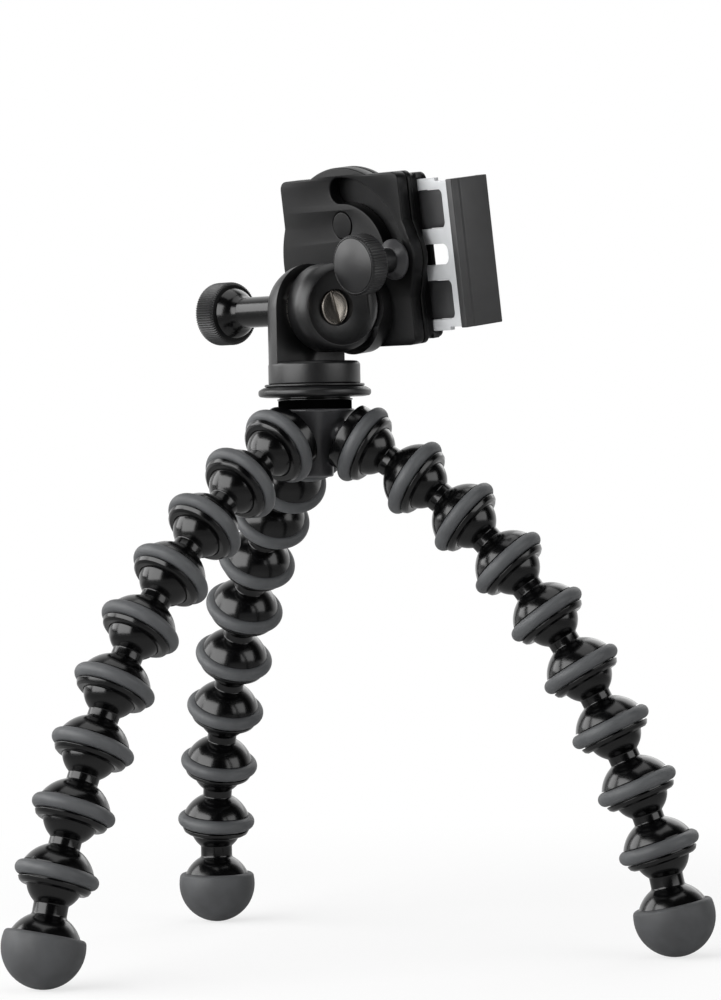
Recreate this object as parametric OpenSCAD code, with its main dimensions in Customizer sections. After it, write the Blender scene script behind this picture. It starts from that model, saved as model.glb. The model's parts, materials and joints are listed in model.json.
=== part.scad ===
// Flexible-leg phone tripod: three legs of ball-and-socket links carry a hub, a tilting head
// and a swivelling clamp whose jaw slides to the width of the phone.
// Millimetres, +Z up, origin on the floor under the hub's vertical axis. +X runs from the
// tilt knob to the moving jaw, and the back of the phone faces -Y.

/* [Legs] */
// Distance from one ball joint of a leg to the next
link_pitch = 19; // [18:0.5:21]
// Distance from the last ball joint of a leg to the centre of its rubber foot
foot_reach = 18.7; // [18.5:0.1:21]
// Radius of the rubber foot
foot_r = 12.1; // [11.8:0.1:13]
// Thickness of the rubber foot
foot_wall = 2.5; // [2:0.1:3]
// Radius of the shell above the rubber foot
foot_dome_r = 10.9; // [10.6:0.1:11.2]

/* [Ball joints] */
// Radius of a ball
ball_r = 8.2; // [7.8:0.1:8.6]
// Wall of a socket between the ball and the groove of its rubber ring
socket_wall = 1.25; // [1:0.05:1.5]
// Thickness of a cup between the ball and its outer face
cup_wall = 2.9; // [2.8:0.05:3.2]
// How far the mouth of a socket lies beyond the centre of its ball
mouth_depth = 2.45; // [2.4:0.05:2.8]
// Radius of the neck behind a ball
neck_r = 4.6; // [4.2:0.1:4.7]
// How far a rubber ring stands out from the floor of its groove
ring_proud = 2.75; // [2.4:0.05:3]
// Width of a rubber ring along its leg
ring_w = 4.2; // [3.8:0.1:4.2]

/* [Hub] */
// Distance from the hub's axis to the centre of each of its sockets
hub_reach = 16.3; // [16:0.1:18]
// Radius of the arms that carry the hub's sockets
arm_r = 10.2; // [9.9:0.1:10.3]
// Radius of the neck above the hub's core
core_r = 11.3; // [10.5:0.1:12]
// Radius of the core where it is thinnest, between the legs
waist_r = 3.4; // [3:0.1:4]
// Radius of the lock wheel
wheel_r = 16.85; // [16:0.05:18]
// Thickness of the lock wheel
wheel_h = 3.1; // [2.8:0.1:3.6]
// Radius of the pad between the lock wheel and the head
pad_r = 14.95; // [14:0.05:15.5]
// Thickness of that pad
pad_h = 0.8; // [0.6:0.1:1.2]
// Radius of the tripod screw, a quarter of an inch across
screw_r = 3.175; // [3.1:0.025:3.3]

/* [Head] */
// Radius of the round base of the head
base_r = 13.75; // [13.6:0.05:14.5]
// Thickness of the base
base_h = 6.7; // [6.4:0.1:8]
// Height of the tilt axis above the base
axis_rise = 15.7; // [15.4:0.1:18]
// Radius of the ear that carries the tilt bolt
ear_r = 13.6; // [13:0.1:13.7]
// Distance from the hub's axis to the inner face of the ear
ear_face = 1.3; // [1.2:0.1:2]
// Radius of the tilt bolt
bolt_r = 2.9; // [2.5:0.1:3]
// Radius of the tilt knob
knob_r = 9.6; // [9:0.1:10]
// Width of the knurled rim of the tilt knob
knob_w = 8.3; // [7.5:0.1:9]
// Distance from the hub's axis to the end of the tilt knob
knob_end = 44.2; // [43:0.1:46]
// Radius of the drum that turns on the tilt bolt
drum_r = 13.2; // [12.8:0.1:13.4]
// Length of the drum along the tilt axis
drum_len = 13.8; // [13:0.1:14]
// Slant of the drum's outer end
drum_slant = 17.5; // [10:0.5:18]
// Lean of the clamp as photographed, top toward the back
clamp_lean = 7.2; // [0:0.1:12]

/* [Clamp] */
// Distance from the tilt axis to the clamp's back cover
cover_y = 14; // [13.9:0.1:15]
// Thickness of the back cover
cover_t = 4; // [3.6:0.1:4.4]
// Half the width of the clamp body
body_half_w = 26.2; // [25.5:0.1:27]
// Half the height of the clamp body
body_half_h = 25.8; // [25.5:0.1:27]
// Radius of the round bulge round the swivel axis
bulge_r = 28.6; // [27.5:0.1:29]
// Radius of the lobe round the foot of the curved slot
lobe_r = 12.4; // [12:0.1:12.6]
// Distance from the swivel axis to the lock knob
slot_reach = 21.7; // [21.5:0.1:22]
// Width of the curved slot
slot_w = 7.8; // [7.2:0.1:8.4]
// Radius of the lock knob
lock_r = 9; // [8:0.1:9]
// Width of the knurled rim of the lock knob
lock_w = 6.1; // [5:0.1:6.2]
// Depth of the clamp body from its rear face to its front face
body_t = 8.7; // [8.6:0.1:10]

/* [Jaws] */
// Width between the jaws as photographed
phone_w = 67; // [57:1:90]
// Thickness of the phone that the jaws take
phone_t = 7.1; // [6.5:0.1:9]
// Height of the jaws
jaw_h = 44; // [40:0.5:48]
// Thickness of a jaw
jaw_t = 3; // [2.6:0.1:3.5]
// Thickness of the rubber on a jaw
jaw_pad_t = 1.1; // [0.8:0.1:1.5]
// Thickness of the sliding frame
slide_t = 1.9; // [1.6:0.1:2]
// Width of the sliding frame
slide_w = 45.4; // [44:0.1:45.4]

/* [Hidden] */
// Faces round a full turn
$fn = 72;

LETTERS = ["a", "b", "c"];
// Slope below the horizontal of each link and then of the foot, one row a leg
leg_slopes = [
  [34.4, 40.8, 45.9, 52, 59.4, 64.7, 67.7, 70.9, 76],
  [31.5, 39.5, 46.4, 52.8, 57.4, 63, 70.1, 79.7, 89.5],
  [32.9, 39, 47, 54.3, 58.9, 64.2, 67.3, 71.5, 79]
];
// Compass heading of each leg's first link, and how much each later link turns from the last
leg_headings = [-88, 160, 29.5];
leg_turns = [-0.65, 0, 1.3];
// Compass heading and slope of the hub's arms
arm_headings = [-90, 150, 30];
arm_slope = 30;
LEGS = [0 : len(leg_slopes) - 1];
links = len(leg_slopes[0]) - 1;
LINKS = [1 : links];

function link_name(leg, i) = str("leg_", LETTERS[leg], "_link_", i);
function foot_name(leg) = str("leg_", LETTERS[leg], "_foot");
function foot_cap_name(leg) = str("leg_", LETTERS[leg], "_foot_cap");

// Gap between pieces that fit and turn in each other, and between pieces that pass each other
fit = 0.05;
gap = 0.3;
// How far a cutting shape overruns what it cuts
over = 1;

// Sockets and balls
socket_r = ball_r + fit;
cup_r = ball_r + fit + cup_wall;
cup_centre = 0.3;
ceiling = 6.2;
roof = cup_r - cup_centre - ceiling;
ball_flat = 3;
groove_r = socket_r + socket_wall;
groove_w = ring_w + 2 * gap;
ring_r = groove_r + ring_proud;
ring_tube_r = 2.1;
ring_back = 1.8;
lip_edge = 0.35;
lip_flat = 1.85;
lip_shoulder = 1;
lip_drop = 0.55;

// Feet
foot_plug_r = foot_r - foot_wall - fit;
foot_rim = 3.5;
foot_shoulder_r = 1.3;
foot_dome_drop = 1;
foot_dome_centre = foot_reach + foot_dome_drop;
foot_neck_more = 0.4;
foot_neck_r = neck_r + foot_neck_more;

// Leg chains: the drop of leg a sets the height of the hub, and the slopes of the other two
// legs shift by a small angle until their feet stand on the same floor
shift_limit = 12;
shift_halvings = 24;
function step(i) = i < links ? link_pitch : foot_reach;
function drop(leg, shift, i = 0) =
  i > links ? 0 : step(i) * sin(leg_slopes[leg][i] + shift) + drop(leg, shift, i + 1);
function find_shift(leg, low, high, turns) =
  let (middle = (low + high) / 2)
  turns == 0 ? middle
  : drop(leg, middle) < drop(0, 0) ? find_shift(leg, middle, high, turns - 1)
  : find_shift(leg, low, middle, turns - 1);
slope_shifts = [
  for (leg = LEGS) leg == 0 ? 0 : find_shift(leg, -shift_limit, shift_limit, shift_halvings)
];
hub_z = foot_r + drop(0, 0);

function heading(leg, i) = leg_headings[leg] + i * leg_turns[leg];
function slope(leg, i) = leg_slopes[leg][i] + slope_shifts[leg];
function direction(slope, heading) = [cos(slope) * cos(heading), cos(slope) * sin(heading), -sin(slope)];
function socket_at(leg, i) =
  i == 0 ? [hub_reach * cos(arm_headings[leg]), hub_reach * sin(arm_headings[leg]), hub_z]
  : socket_at(leg, i - 1) + link_pitch * direction(slope(leg, i - 1), heading(leg, i - 1));

// Hub
arm_root = 8;
arm_back = (hub_reach - arm_root) / cos(arm_slope);
hub_rise = 12.7;
core_top = hub_z + hub_rise;
core_bend_r = 13.6;
waist_z = core_top - core_bend_r;
stem_h = 5.6;
neck_h = 2.6;
neck_flange_h = 1;
neck_step = 0.5;
wheel_z = core_top + neck_h + fit;
wheel_edge_r = 1.1;
pad_z = wheel_z + wheel_h;
base_z = pad_z + pad_h + fit;
screw_chamfer = 0.5;
screw_foot_r = 6;
screw_foot_h = 2;
hub_bore_deep = 5;
hub_bore_z = wheel_z - hub_bore_deep;

// Head
insert_r = 5.2;
insert_h = 5.6;
base_edge_r = 1.2;
axis_z = base_z + base_h + axis_rise;
washer_r = 9.5;
washer_t = 0.7;
drum_x = ear_face - washer_t - 2 * fit;
drum_edge_r = 5;
drum_end_edge_r = 5;
dish_r = 20.4;
dish_deep = 4.2;
bolt_head_r = 5.15;
bolt_head_h = 0.8;
bolt_seat = drum_len - dish_deep - bolt_head_h / 2;
bolt_recess_r = bolt_head_r + gap;
bolt_slot_w = 1;
bolt_slot_h = 0.4;
bolt_end_in = 4;
bolt_end = knob_end - bolt_end_in;
knob_edge_r = 2;
knob_groove_r = 7;
knob_groove_w = 0.4;
bell_rim_r = 7.7;
bell_r = 8.35;
stem_r = 4.65;
knurls = 36;
knurl_r = 0.4;
nut_r = 4.2;
nut_h = 3;
nut_cover = 1.2;
flange_x = 6;
flange_z = -1.7;
flange_r = 13.4;
flange_t = 5;

// Clamp, measured from the tilt axis in the leaning frame
pivot_x = 1.7;
pivot_z = 12.2;
corner_r = 2.5;
cover_edge = 0.6;
lobe_in = 4.7;
lobe_x = pivot_x + slot_reach - lobe_in;
lobe_rise = 0.7;
lobe_z = pivot_z + lobe_rise;
cap_r = 4;
cap_rise = 11.2;
cap_z = pivot_z + cap_rise;
cap_sink = 1.5;
cap_proud = 0.2;
body_y = cover_y + cover_t + gap;
boss_r = 6;
rear_t = 2.2;
pivot_washer_r = 8.5;
pivot_washer_t = 0.8;
pivot_head_r = 3;
pivot_head_h = 0.8;
pivot_shank_r = 1.5;
boss_end = body_y + rear_t + gap;
pocket_r = pivot_washer_r + gap;
channel_in = 4.65;
channel_y = body_y + channel_in;
channel_w = slide_w + 2 * gap - 4 * fit;
channel_t = slide_t + gap;
rim_t = 1.7;
rim_step = 1;
body_front = body_y + body_t;
front_y = channel_y + channel_t + fit;
front_pad_t = 0.8;
front_pad_edge = 3.2;
front_pad_middle = 5;
front_pad_end = 6.8;
front_pad_w = body_half_w - rim_step - front_pad_edge - front_pad_middle;
front_pad_h = 2 * (body_half_h - rim_step - front_pad_end);
front_pad_x = front_pad_middle + front_pad_w / 2;
phone_y = body_front + front_pad_t;
fastener_r = 1;
fastener_head_r = 1.8;
fastener_head_h = 1;
fastener_deep = 1.5;
post_r = 2.4;
post_in = 5.7;
post_x = pivot_x + body_half_w - post_in;

// Lock knob, on the middle line of the curved slot
lock_x = pivot_x + slot_reach;
lock_z = pivot_z;
lock_back = cover_y - gap;
collar_t = 2.7;
collar_rim_t = 0.8;
lock_collar_r = 6.1;
collar_top_r = 3.9;
lock_face = -3.3;
lock_neck_r = 3.7;
lock_shoulder_r = 3.4;
lock_stud_r = 2;
lock_stud_end = 1.5;
lock_stud_stop = channel_y - fastener_deep - 2 * gap;
lock_chamfer = 0.6;
lock_dome_h = 1.3;
lock_knurls = 36;
lock_knurl_r = 0.3;

// Jaws: the phone lies between them, and the sliding frame is drawn where the phone holds it
jaw_front = phone_y + phone_t;
jaw_lip_t = 1;
jaw_lip_reach = 0.6;
jaw_step = 3;
jaw_back = body_y + jaw_step;
jaw_crease = 3;
jaw_crease_step = 0.5;
jaw_clear = 3.1;
fixed_face = pivot_x - body_half_w - jaw_clear;
moving_face = fixed_face + phone_w;
moving_back = moving_face + jaw_pad_t;
fixed_back = fixed_face - jaw_pad_t;
tongue_len = 9.2;
tongue_end = fixed_back + tongue_len;
tongue_screw_in = 2.1;
tongue_screw_x = tongue_end - tongue_screw_in;
tongue_screw_z = 17;
pad_start = channel_y + channel_t + gap;
jaw_corner_r = 1;
slide_y = channel_y + (channel_t - slide_t) / 2;
slide_len = 48.5;
slide_left = moving_back - slide_len;
slide_end_bar = 4.1;
slide_tail_bar = 3;
slide_slot_w = 6.2;
slide_slot_left = slide_left + slide_tail_bar;
slide_slot_right = moving_back - slide_end_bar;
window_len = 28.3;
window_rib = 4.6;
window_bar = 3.4;
window_low = slide_slot_w / 2 + window_rib;
window_high = slide_w / 2 - window_bar;
window_corner_r = 1.2;
slide_notch = 1;
slide_notch_len = 6.5;

PLASTIC = "#2c2d30";
RUBBER = "#3b3d40";
KNOB = "#303134";
METAL = "#b9bcc0";
BRASS = "#b8954a";
PALE = "#c9ccce";
PAD = "#4a4b4e";

// A stretch of a disc's right half between two heights, for turning about its axis
module disc_section(r, low, high) {
  intersection() {
    circle(r = r);
    translate([0, low]) square([r, high - low]);
  }
}

// A plain rectangle from the axis outward between two heights
module bar_section(r, low, high) {
  translate([0, low]) square([r, high - low]);
}

// Outer outline of a cup, round its ball's centre, mouth upward
module cup_section() {
  translate([0, cup_centre]) disc_section(cup_r, -cup_r, mouth_depth - cup_centre);
}

// What is cut from a cup: the seat of the ball, the groove of the ring and the slanted lip
module socket_section() {
  lip_low = groove_w / 2 - ring_back;
  disc_section(socket_r, -ceiling, socket_r);
  translate([groove_r, -ring_back - groove_w / 2]) square([ring_r - groove_r, groove_w]);
  polygon([
    [cup_r - lip_edge, lip_low - over],
    [cup_r - lip_edge, lip_low],
    [cup_r - lip_shoulder, mouth_depth - lip_drop],
    [cup_r - lip_flat, mouth_depth],
    [cup_r - lip_flat, mouth_depth + over],
    [cup_r + over, mouth_depth + over],
    [cup_r + over, lip_low - over]
  ]);
}

// Rubber ring in its groove
module ring_section() {
  translate([0, -ring_back]) intersection() {
    translate([ring_r - ring_tube_r, 0]) circle(r = ring_tube_r);
    translate([groove_r + fit, -ring_w / 2]) square([ring_proud, ring_w]);
  }
}

// A ball with its inner side cut flat, and the neck that carries it
module ball_section(r, neck_end) {
  disc_section(ball_r, -ball_flat, ball_r);
  bar_section(r, 0, neck_end);
}

// Outline of a link: ball below, cup above
module link_section() {
  difference() {
    union() {
      ball_section(neck_r, link_pitch - ceiling - roof / 2);
      translate([0, link_pitch]) cup_section();
    }
    translate([0, link_pitch]) socket_section();
  }
}

// Outline of a foot's rigid shell: ball, neck, dome and the plug that the rubber sits on
module foot_section() {
  rim_z = foot_reach - foot_rim - fit;
  ball_section(foot_neck_r, foot_reach);
  translate([0, foot_dome_centre])
    disc_section(foot_dome_r, -foot_dome_r, rim_z - foot_dome_centre);
  translate([0, foot_reach]) disc_section(foot_plug_r, -foot_rim - 2 * fit, foot_plug_r);
}

// Outline of the rubber foot with its rounded shoulder
module foot_cap_section() {
  reach = foot_r - foot_shoulder_r;
  low = foot_shoulder_r - foot_rim;
  tangent = low * foot_r / reach;
  shoulder_x = sqrt(pow(reach, 2) - pow(low, 2));
  difference() {
    union() {
      disc_section(foot_r, tangent, foot_r);
      translate([0, -foot_rim]) square([shoulder_x, foot_rim]);
      translate([shoulder_x, low]) circle(r = foot_shoulder_r);
    }
    circle(r = foot_plug_r + fit);
  }
}

// Places a link's or foot's own frame, ball centre at zero and +Z along the leg
module at_socket(leg, i) {
  translate(socket_at(leg, i)) rotate([0, 90 + slope(leg, i), heading(leg, i)]) children();
}

// Places the frame of one of the hub's own sockets
module at_arm(leg) {
  translate(socket_at(leg, 0)) rotate([0, 90 + arm_slope, arm_headings[leg]]) children();
}

module leg_link(leg, i) {
  at_socket(leg, i - 1) {
    color(PLASTIC) rotate_extrude() link_section();
    color(RUBBER) translate([0, 0, link_pitch]) rotate_extrude() ring_section();
  }
}

module leg_foot(leg) {
  color(PLASTIC) at_socket(leg, links) rotate_extrude() foot_section();
}

module leg_foot_cap(leg) {
  color(RUBBER) at_socket(leg, links) translate([0, 0, foot_reach]) rotate_extrude() foot_cap_section();
}

// Core between the arms, which narrows downward on a hollow curve to a stem
module hub_core_section() {
  difference() {
    bar_section(core_r, waist_z, core_top);
    translate([waist_r + core_bend_r, waist_z]) circle(r = core_bend_r);
  }
  bar_section(waist_r, waist_z - stem_h, waist_z + over);
  bar_section(core_r - neck_step, core_top - over, core_top + neck_h);
  bar_section(core_r, core_top + neck_h / 2 - neck_flange_h / 2, core_top + neck_h / 2 + neck_flange_h / 2);
}

module hub_body() {
  color(PLASTIC) difference() {
    union() {
      rotate_extrude() hub_core_section();
      for (leg = LEGS) at_arm(leg) rotate_extrude() {
        cup_section();
        bar_section(arm_r, -arm_back, 0);
      }
    }
    for (leg = LEGS) at_arm(leg) rotate_extrude() socket_section();
    translate([0, 0, hub_bore_z]) cylinder(r = screw_foot_r + fit, h = screw_foot_h + fit);
    translate([0, 0, hub_bore_z]) cylinder(r = screw_r + fit, h = wheel_z);
  }
}

module hub_rings() {
  color(RUBBER) for (leg = LEGS) at_arm(leg) rotate_extrude() ring_section();
}

// Lens-shaped wheel, turned with the tripod screw
module lock_wheel() {
  color(KNOB) translate([0, 0, wheel_z]) difference() {
    rotate_extrude() {
      bar_section(wheel_r - wheel_edge_r, 0, 2 * wheel_edge_r);
      translate([wheel_r - wheel_edge_r, wheel_edge_r]) circle(r = wheel_edge_r);
      polygon([
        [0, 2 * wheel_edge_r],
        [wheel_r - wheel_edge_r, 2 * wheel_edge_r],
        [pad_r, wheel_h],
        [0, wheel_h]
      ]);
    }
    translate([0, 0, -over]) cylinder(r = screw_r + fit, h = wheel_h + 2 * over);
  }
}

// Screw that is held in the hub by its foot and screws into the head
module tripod_screw() {
  top = base_z + insert_h - 2 * screw_chamfer;
  color(METAL) rotate_extrude() {
    bar_section(screw_foot_r, hub_bore_z + fit, hub_bore_z + screw_foot_h);
    bar_section(screw_r, hub_bore_z + screw_foot_h, top - screw_chamfer);
    polygon([
      [0, top - screw_chamfer],
      [screw_r, top - screw_chamfer],
      [screw_r - screw_chamfer, top],
      [0, top]
    ]);
  }
}

module platform_pad() {
  color(RUBBER) translate([0, 0, pad_z]) difference() {
    cylinder(r = pad_r, h = pad_h);
    translate([0, 0, -over]) cylinder(r = screw_r + fit, h = pad_h + 2 * over);
  }
}

// Round base and the half-round ear that rises from it
module head_base() {
  color(PLASTIC) difference() {
    union() {
      translate([0, 0, base_z]) rotate_extrude() {
        bar_section(base_r, 0, base_h - base_edge_r);
        bar_section(base_r - base_edge_r, 0, base_h);
        translate([base_r - base_edge_r, base_h - base_edge_r]) intersection() {
          circle(r = base_edge_r);
          square(base_edge_r);
        }
      }
      difference() {
        union() {
          translate([0, 0, base_z + base_edge_r]) cylinder(r = ear_r, h = axis_z - base_z - base_edge_r);
          translate([0, 0, axis_z]) sphere(r = ear_r);
        }
        translate([-ear_face, -base_r, base_z + base_h]) cube([2 * base_r, 2 * base_r, axis_z]);
      }
    }
    translate([0, 0, base_z - over]) cylinder(r = insert_r + fit, h = insert_h + fit + over);
    translate([-2 * ear_r, 0, axis_z]) rotate([0, 90, 0]) cylinder(r = bolt_r + fit, h = 2 * ear_r);
  }
}

module thread_insert() {
  color(BRASS) translate([0, 0, base_z]) difference() {
    cylinder(r = insert_r, h = insert_h);
    translate([0, 0, -over]) cylinder(r = screw_r + fit, h = insert_h + 2 * over);
  }
}

// A disc or rod along X, from one distance to another on the tilt axis
module rod_x(r, left, right) {
  translate([left, 0, 0]) rotate([0, 90, 0]) cylinder(r = r, h = right - left);
}

// A rod along the clamp's own Y at a place of its face
module rod_y(r, x, z, back, front) {
  translate([x, front, z]) rotate([90, 0, 0]) cylinder(r = r, h = front - back);
}

// A flat outline thickened along the clamp's own Y
module plate_y(back, front) {
  translate([0, front, 0]) rotate([90, 0, 0]) linear_extrude(height = front - back) children();
}

// The frame of the tilt axis, and the same frame leaning with the clamp
module at_axis() {
  translate([0, 0, axis_z]) children();
}

module in_clamp() {
  at_axis() rotate([clamp_lean, 0, 0]) children();
}

module tilt_washer() {
  color(METAL) at_axis() difference() {
    rod_x(washer_r, -ear_face + fit, -ear_face + fit + washer_t);
    rod_x(bolt_r + fit, -ear_face - over, over);
  }
}

// Knurled knob on the left end of the tilt bolt, with a round shoulder behind its rim
module tilt_knob() {
  rim = -knob_end + knob_w;
  bell_rim = rim + knob_groove_w;
  bell_x = bell_rim - sqrt(pow(bell_r, 2) - pow(bell_rim_r, 2));
  color(KNOB) at_axis() difference() {
    rotate([0, 90, 0]) rotate_extrude() {
      bar_section(knob_r - knob_edge_r, -knob_end, rim);
      bar_section(knob_r, knob_edge_r - knob_end, rim - knob_edge_r);
      translate([knob_r - knob_edge_r, knob_edge_r - knob_end]) circle(r = knob_edge_r);
      translate([knob_r - knob_edge_r, rim - knob_edge_r]) circle(r = knob_edge_r);
      bar_section(knob_groove_r, rim - over, bell_rim + over);
      translate([0, bell_x]) disc_section(bell_r, bell_rim - bell_x, bell_r);
      bar_section(stem_r, bell_rim, -ear_r - gap);
    }
    for (k = [1 : knurls]) rotate([k * 360 / knurls, 0, 0]) translate([0, 0, knob_r])
      rod_x(knurl_r, -knob_end - over, rim + over);
    rod_x(bolt_r + fit, -bolt_end - fit, 0);
    rod_x(nut_r + fit, -knob_end + nut_cover, -knob_end + nut_cover + nut_h + 2 * fit);
  }
}

module tilt_knob_insert() {
  color(BRASS) at_axis() difference() {
    rod_x(nut_r, -knob_end + nut_cover + fit, -knob_end + nut_cover + fit + nut_h);
    rod_x(bolt_r + fit, -bolt_end - fit, 0);
  }
}

// Drum that turns against the ear, its outer end cut on a slant and dished to the bolt's head
module tilt_block() {
  end_r = drum_r / cos(drum_slant);
  dish_out = dish_r - dish_deep;
  color(PLASTIC) in_clamp() difference() {
    union() {
      intersection() {
        rotate([0, 90, 0]) rotate_extrude() {
          bar_section(drum_r - drum_edge_r, -drum_x, drum_len + drum_r);
          bar_section(drum_r, drum_edge_r - drum_x, drum_len + drum_r);
          translate([drum_r - drum_edge_r, drum_edge_r - drum_x]) circle(r = drum_edge_r);
        }
        translate([drum_len, 0, 0]) rotate([0, 90, -drum_slant]) rotate_extrude() {
          bar_section(end_r - drum_end_edge_r, -drum_len - 2 * drum_r, 0);
          bar_section(end_r, -drum_len - 2 * drum_r, -drum_end_edge_r);
          translate([end_r - drum_end_edge_r, -drum_end_edge_r]) circle(r = drum_end_edge_r);
        }
      }
      difference() {
        rod_y(flange_r, flange_x, flange_z, cover_y - flange_t, cover_y);
        translate([-2 * flange_r - drum_x, 0, -2 * flange_r])
          cube([2 * flange_r, 2 * cover_y, 4 * flange_r]);
      }
    }
    translate([drum_len + dish_out * cos(drum_slant), -dish_out * sin(drum_slant), 0]) sphere(r = dish_r);
    rod_x(bolt_recess_r, bolt_seat, drum_len);
    rod_x(bolt_r + fit, -drum_x - over, drum_len);
  }
}

module tilt_bolt() {
  face = bolt_seat + bolt_head_h;
  color(METAL) in_clamp() difference() {
    union() {
      rod_x(bolt_head_r, bolt_seat, face);
      rod_x(bolt_r, -bolt_end, bolt_seat);
    }
    translate([face - bolt_slot_h, -bolt_slot_w / 2, -bolt_head_r - over])
      cube([bolt_slot_h + over, bolt_slot_w, 2 * (bolt_head_r + over)]);
  }
}

// A rectangle with round corners about the swivel axis
module round_rect(half_w, half_h, r) {
  square([2 * half_w - 2 * r, 2 * half_h], center = true);
  square([2 * half_w, 2 * half_h - 2 * r], center = true);
  for (x = [-1, 1], z = [-1, 1]) translate([x * (half_w - r), z * (half_h - r)]) circle(r = r);
}

// Outline of the back cover: a rounded square, the round bulge and the lobe at the slot
module cover_outline(inset) {
  translate([pivot_x, pivot_z]) {
    round_rect(body_half_w - inset, body_half_h - inset, corner_r - inset);
    intersection() {
      circle(r = bulge_r - inset);
      translate([-bulge_r, inset - body_half_h]) square([2 * bulge_r, bulge_r + body_half_h]);
    }
  }
  translate([lobe_x, lobe_z]) circle(r = lobe_r - inset);
}

// Quarter-round slot about the swivel axis, with round ends
module slot_outline(w) {
  translate([pivot_x, pivot_z]) {
    intersection() {
      difference() {
        circle(r = slot_reach + w / 2);
        circle(r = slot_reach - w / 2);
      }
      square(slot_reach + w);
    }
    translate([slot_reach, 0]) circle(r = w / 2);
    translate([0, slot_reach]) circle(r = w / 2);
  }
}

module back_cover() {
  front = cover_y + cover_t;
  color(PLASTIC) in_clamp() difference() {
    union() {
      plate_y(cover_y, cover_y + cover_edge) cover_outline(cover_edge);
      plate_y(cover_y + cover_edge, front) cover_outline(0);
      rod_y(boss_r, pivot_x, pivot_z, front - over, boss_end);
    }
    plate_y(cover_y - over, front + over) slot_outline(slot_w);
    rod_y(pivot_shank_r + fit, pivot_x, pivot_z, cover_y + cover_t / 2, boss_end + over);
    rod_y(cap_r + fit, pivot_x, cap_z, cover_y - over, cover_y + cap_sink + fit);
  }
}

// Plain round plug in the cover
module cover_cap() {
  color(KNOB) in_clamp() rod_y(cap_r, pivot_x, cap_z, cover_y - cap_proud, cover_y + cap_sink);
}

module pivot_washer() {
  color(METAL) in_clamp() difference() {
    rod_y(pivot_washer_r, pivot_x, pivot_z, boss_end, boss_end + pivot_washer_t);
    rod_y(pivot_shank_r + fit, pivot_x, pivot_z, body_y, front_y);
  }
}

module pivot_screw() {
  head = boss_end + pivot_washer_t;
  color(METAL) in_clamp() {
    rod_y(pivot_head_r, pivot_x, pivot_z, head, head + pivot_head_h);
    rod_y(pivot_shank_r, pivot_x, pivot_z, cover_y + cover_t / 2 + fit, head + fit);
  }
}

// Places children at the three screws that close the clamp body
module at_fasteners() {
  for (z = [-1, 1]) translate([tongue_screw_x, 0, pivot_z + z * tongue_screw_z]) children();
  translate([post_x, 0, pivot_z]) children();
}

// Rear half of the clamp body, with the channel that the jaws' frames lie in
module clamp_housing() {
  color(PLASTIC) in_clamp() difference() {
    union() {
      plate_y(body_y, body_y + rim_t) cover_outline(0);
      plate_y(body_y + rim_t, front_y - fit) body_outline();
    }
    rod_y(boss_r + fit, pivot_x, pivot_z, body_y - over, body_front);
    rod_y(pocket_r, pivot_x, pivot_z, body_y + rear_t, body_front);
    rod_y(lock_stud_r + fit, lock_x, lock_z, body_y - over, lock_stud_stop + fit);
    difference() {
      translate([pivot_x - 2 * body_half_w, channel_y, pivot_z - channel_w / 2])
        cube([4 * body_half_w, channel_t + over, channel_w]);
      rod_y(post_r, post_x, pivot_z, channel_y - over, front_y + over);
    }
    at_fasteners() rod_y(fastener_r + fit, 0, 0, channel_y - fastener_deep, body_front);
  }
}

module body_outline() {
  translate([pivot_x, pivot_z]) round_rect(body_half_w - rim_step, body_half_h - rim_step, corner_r);
}

module housing_front() {
  color(PLASTIC) in_clamp() difference() {
    plate_y(front_y, body_front) body_outline();
    at_fasteners() {
      rod_y(fastener_r + fit, 0, 0, front_y - over, body_front + over);
      rod_y(fastener_head_r + fit, 0, 0, body_front - fastener_head_h, body_front + over);
    }
  }
}

// Two thin rubber pads that the back of the phone rests on
module front_pads() {
  color(RUBBER) in_clamp() for (side = [-1, 1])
    plate_y(body_front, phone_y) translate([pivot_x + side * front_pad_x, pivot_z])
      round_rect(front_pad_w / 2, front_pad_h / 2, corner_r);
}

module front_screws() {
  color(METAL) in_clamp() at_fasteners() {
    rod_y(fastener_head_r, 0, 0, body_front - fastener_head_h + fit, body_front);
    rod_y(fastener_r, 0, 0, channel_y - fastener_deep + fit, body_front - fastener_head_h + fit);
  }
}

// Plate of a jaw as seen along X, with its front lip; back is toward the clamp's rear
module jaw_plate(face, outward) {
  back = min(face, face + outward * jaw_t);
  translate([back, jaw_back, pivot_z - jaw_h / 2])
    cube([jaw_t, jaw_front + jaw_lip_t - jaw_back, jaw_h]);
  lip = min(face - outward * (jaw_pad_t + jaw_lip_reach), face);
  translate([lip, jaw_front, pivot_z - jaw_h / 2])
    cube([jaw_pad_t + jaw_lip_reach, jaw_lip_t, jaw_h]);
}

// Step along the rear edge of a jaw's outer face
module jaw_crease_cut(face, outward) {
  outer = face + outward * jaw_t;
  translate([min(outer, outer - outward * jaw_crease_step), jaw_back - over, pivot_z - jaw_h])
    cube([jaw_crease_step, jaw_crease + over, 2 * jaw_h]);
}

module jaw_pad(face, outward) {
  translate([min(face, face - outward * jaw_pad_t), pad_start, pivot_z - jaw_h / 2 + jaw_corner_r])
    cube([jaw_pad_t, jaw_front - pad_start, jaw_h - 2 * jaw_corner_r]);
}

// Jaw on the knob's side, whose tongue is screwed into the channel
module fixed_jaw() {
  color(PLASTIC) in_clamp() difference() {
    union() {
      difference() {
        jaw_plate(fixed_back, -1);
        jaw_crease_cut(fixed_back, -1);
      }
      translate([fixed_back - over, slide_y, pivot_z - slide_w / 2])
        cube([tongue_end - fixed_back + over, slide_t, slide_w]);
    }
    at_fasteners() rod_y(fastener_r + fit, 0, 0, jaw_back, body_front);
  }
}

module fixed_jaw_pad() {
  color(RUBBER) in_clamp() jaw_pad(fixed_back, -1);
}

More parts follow.
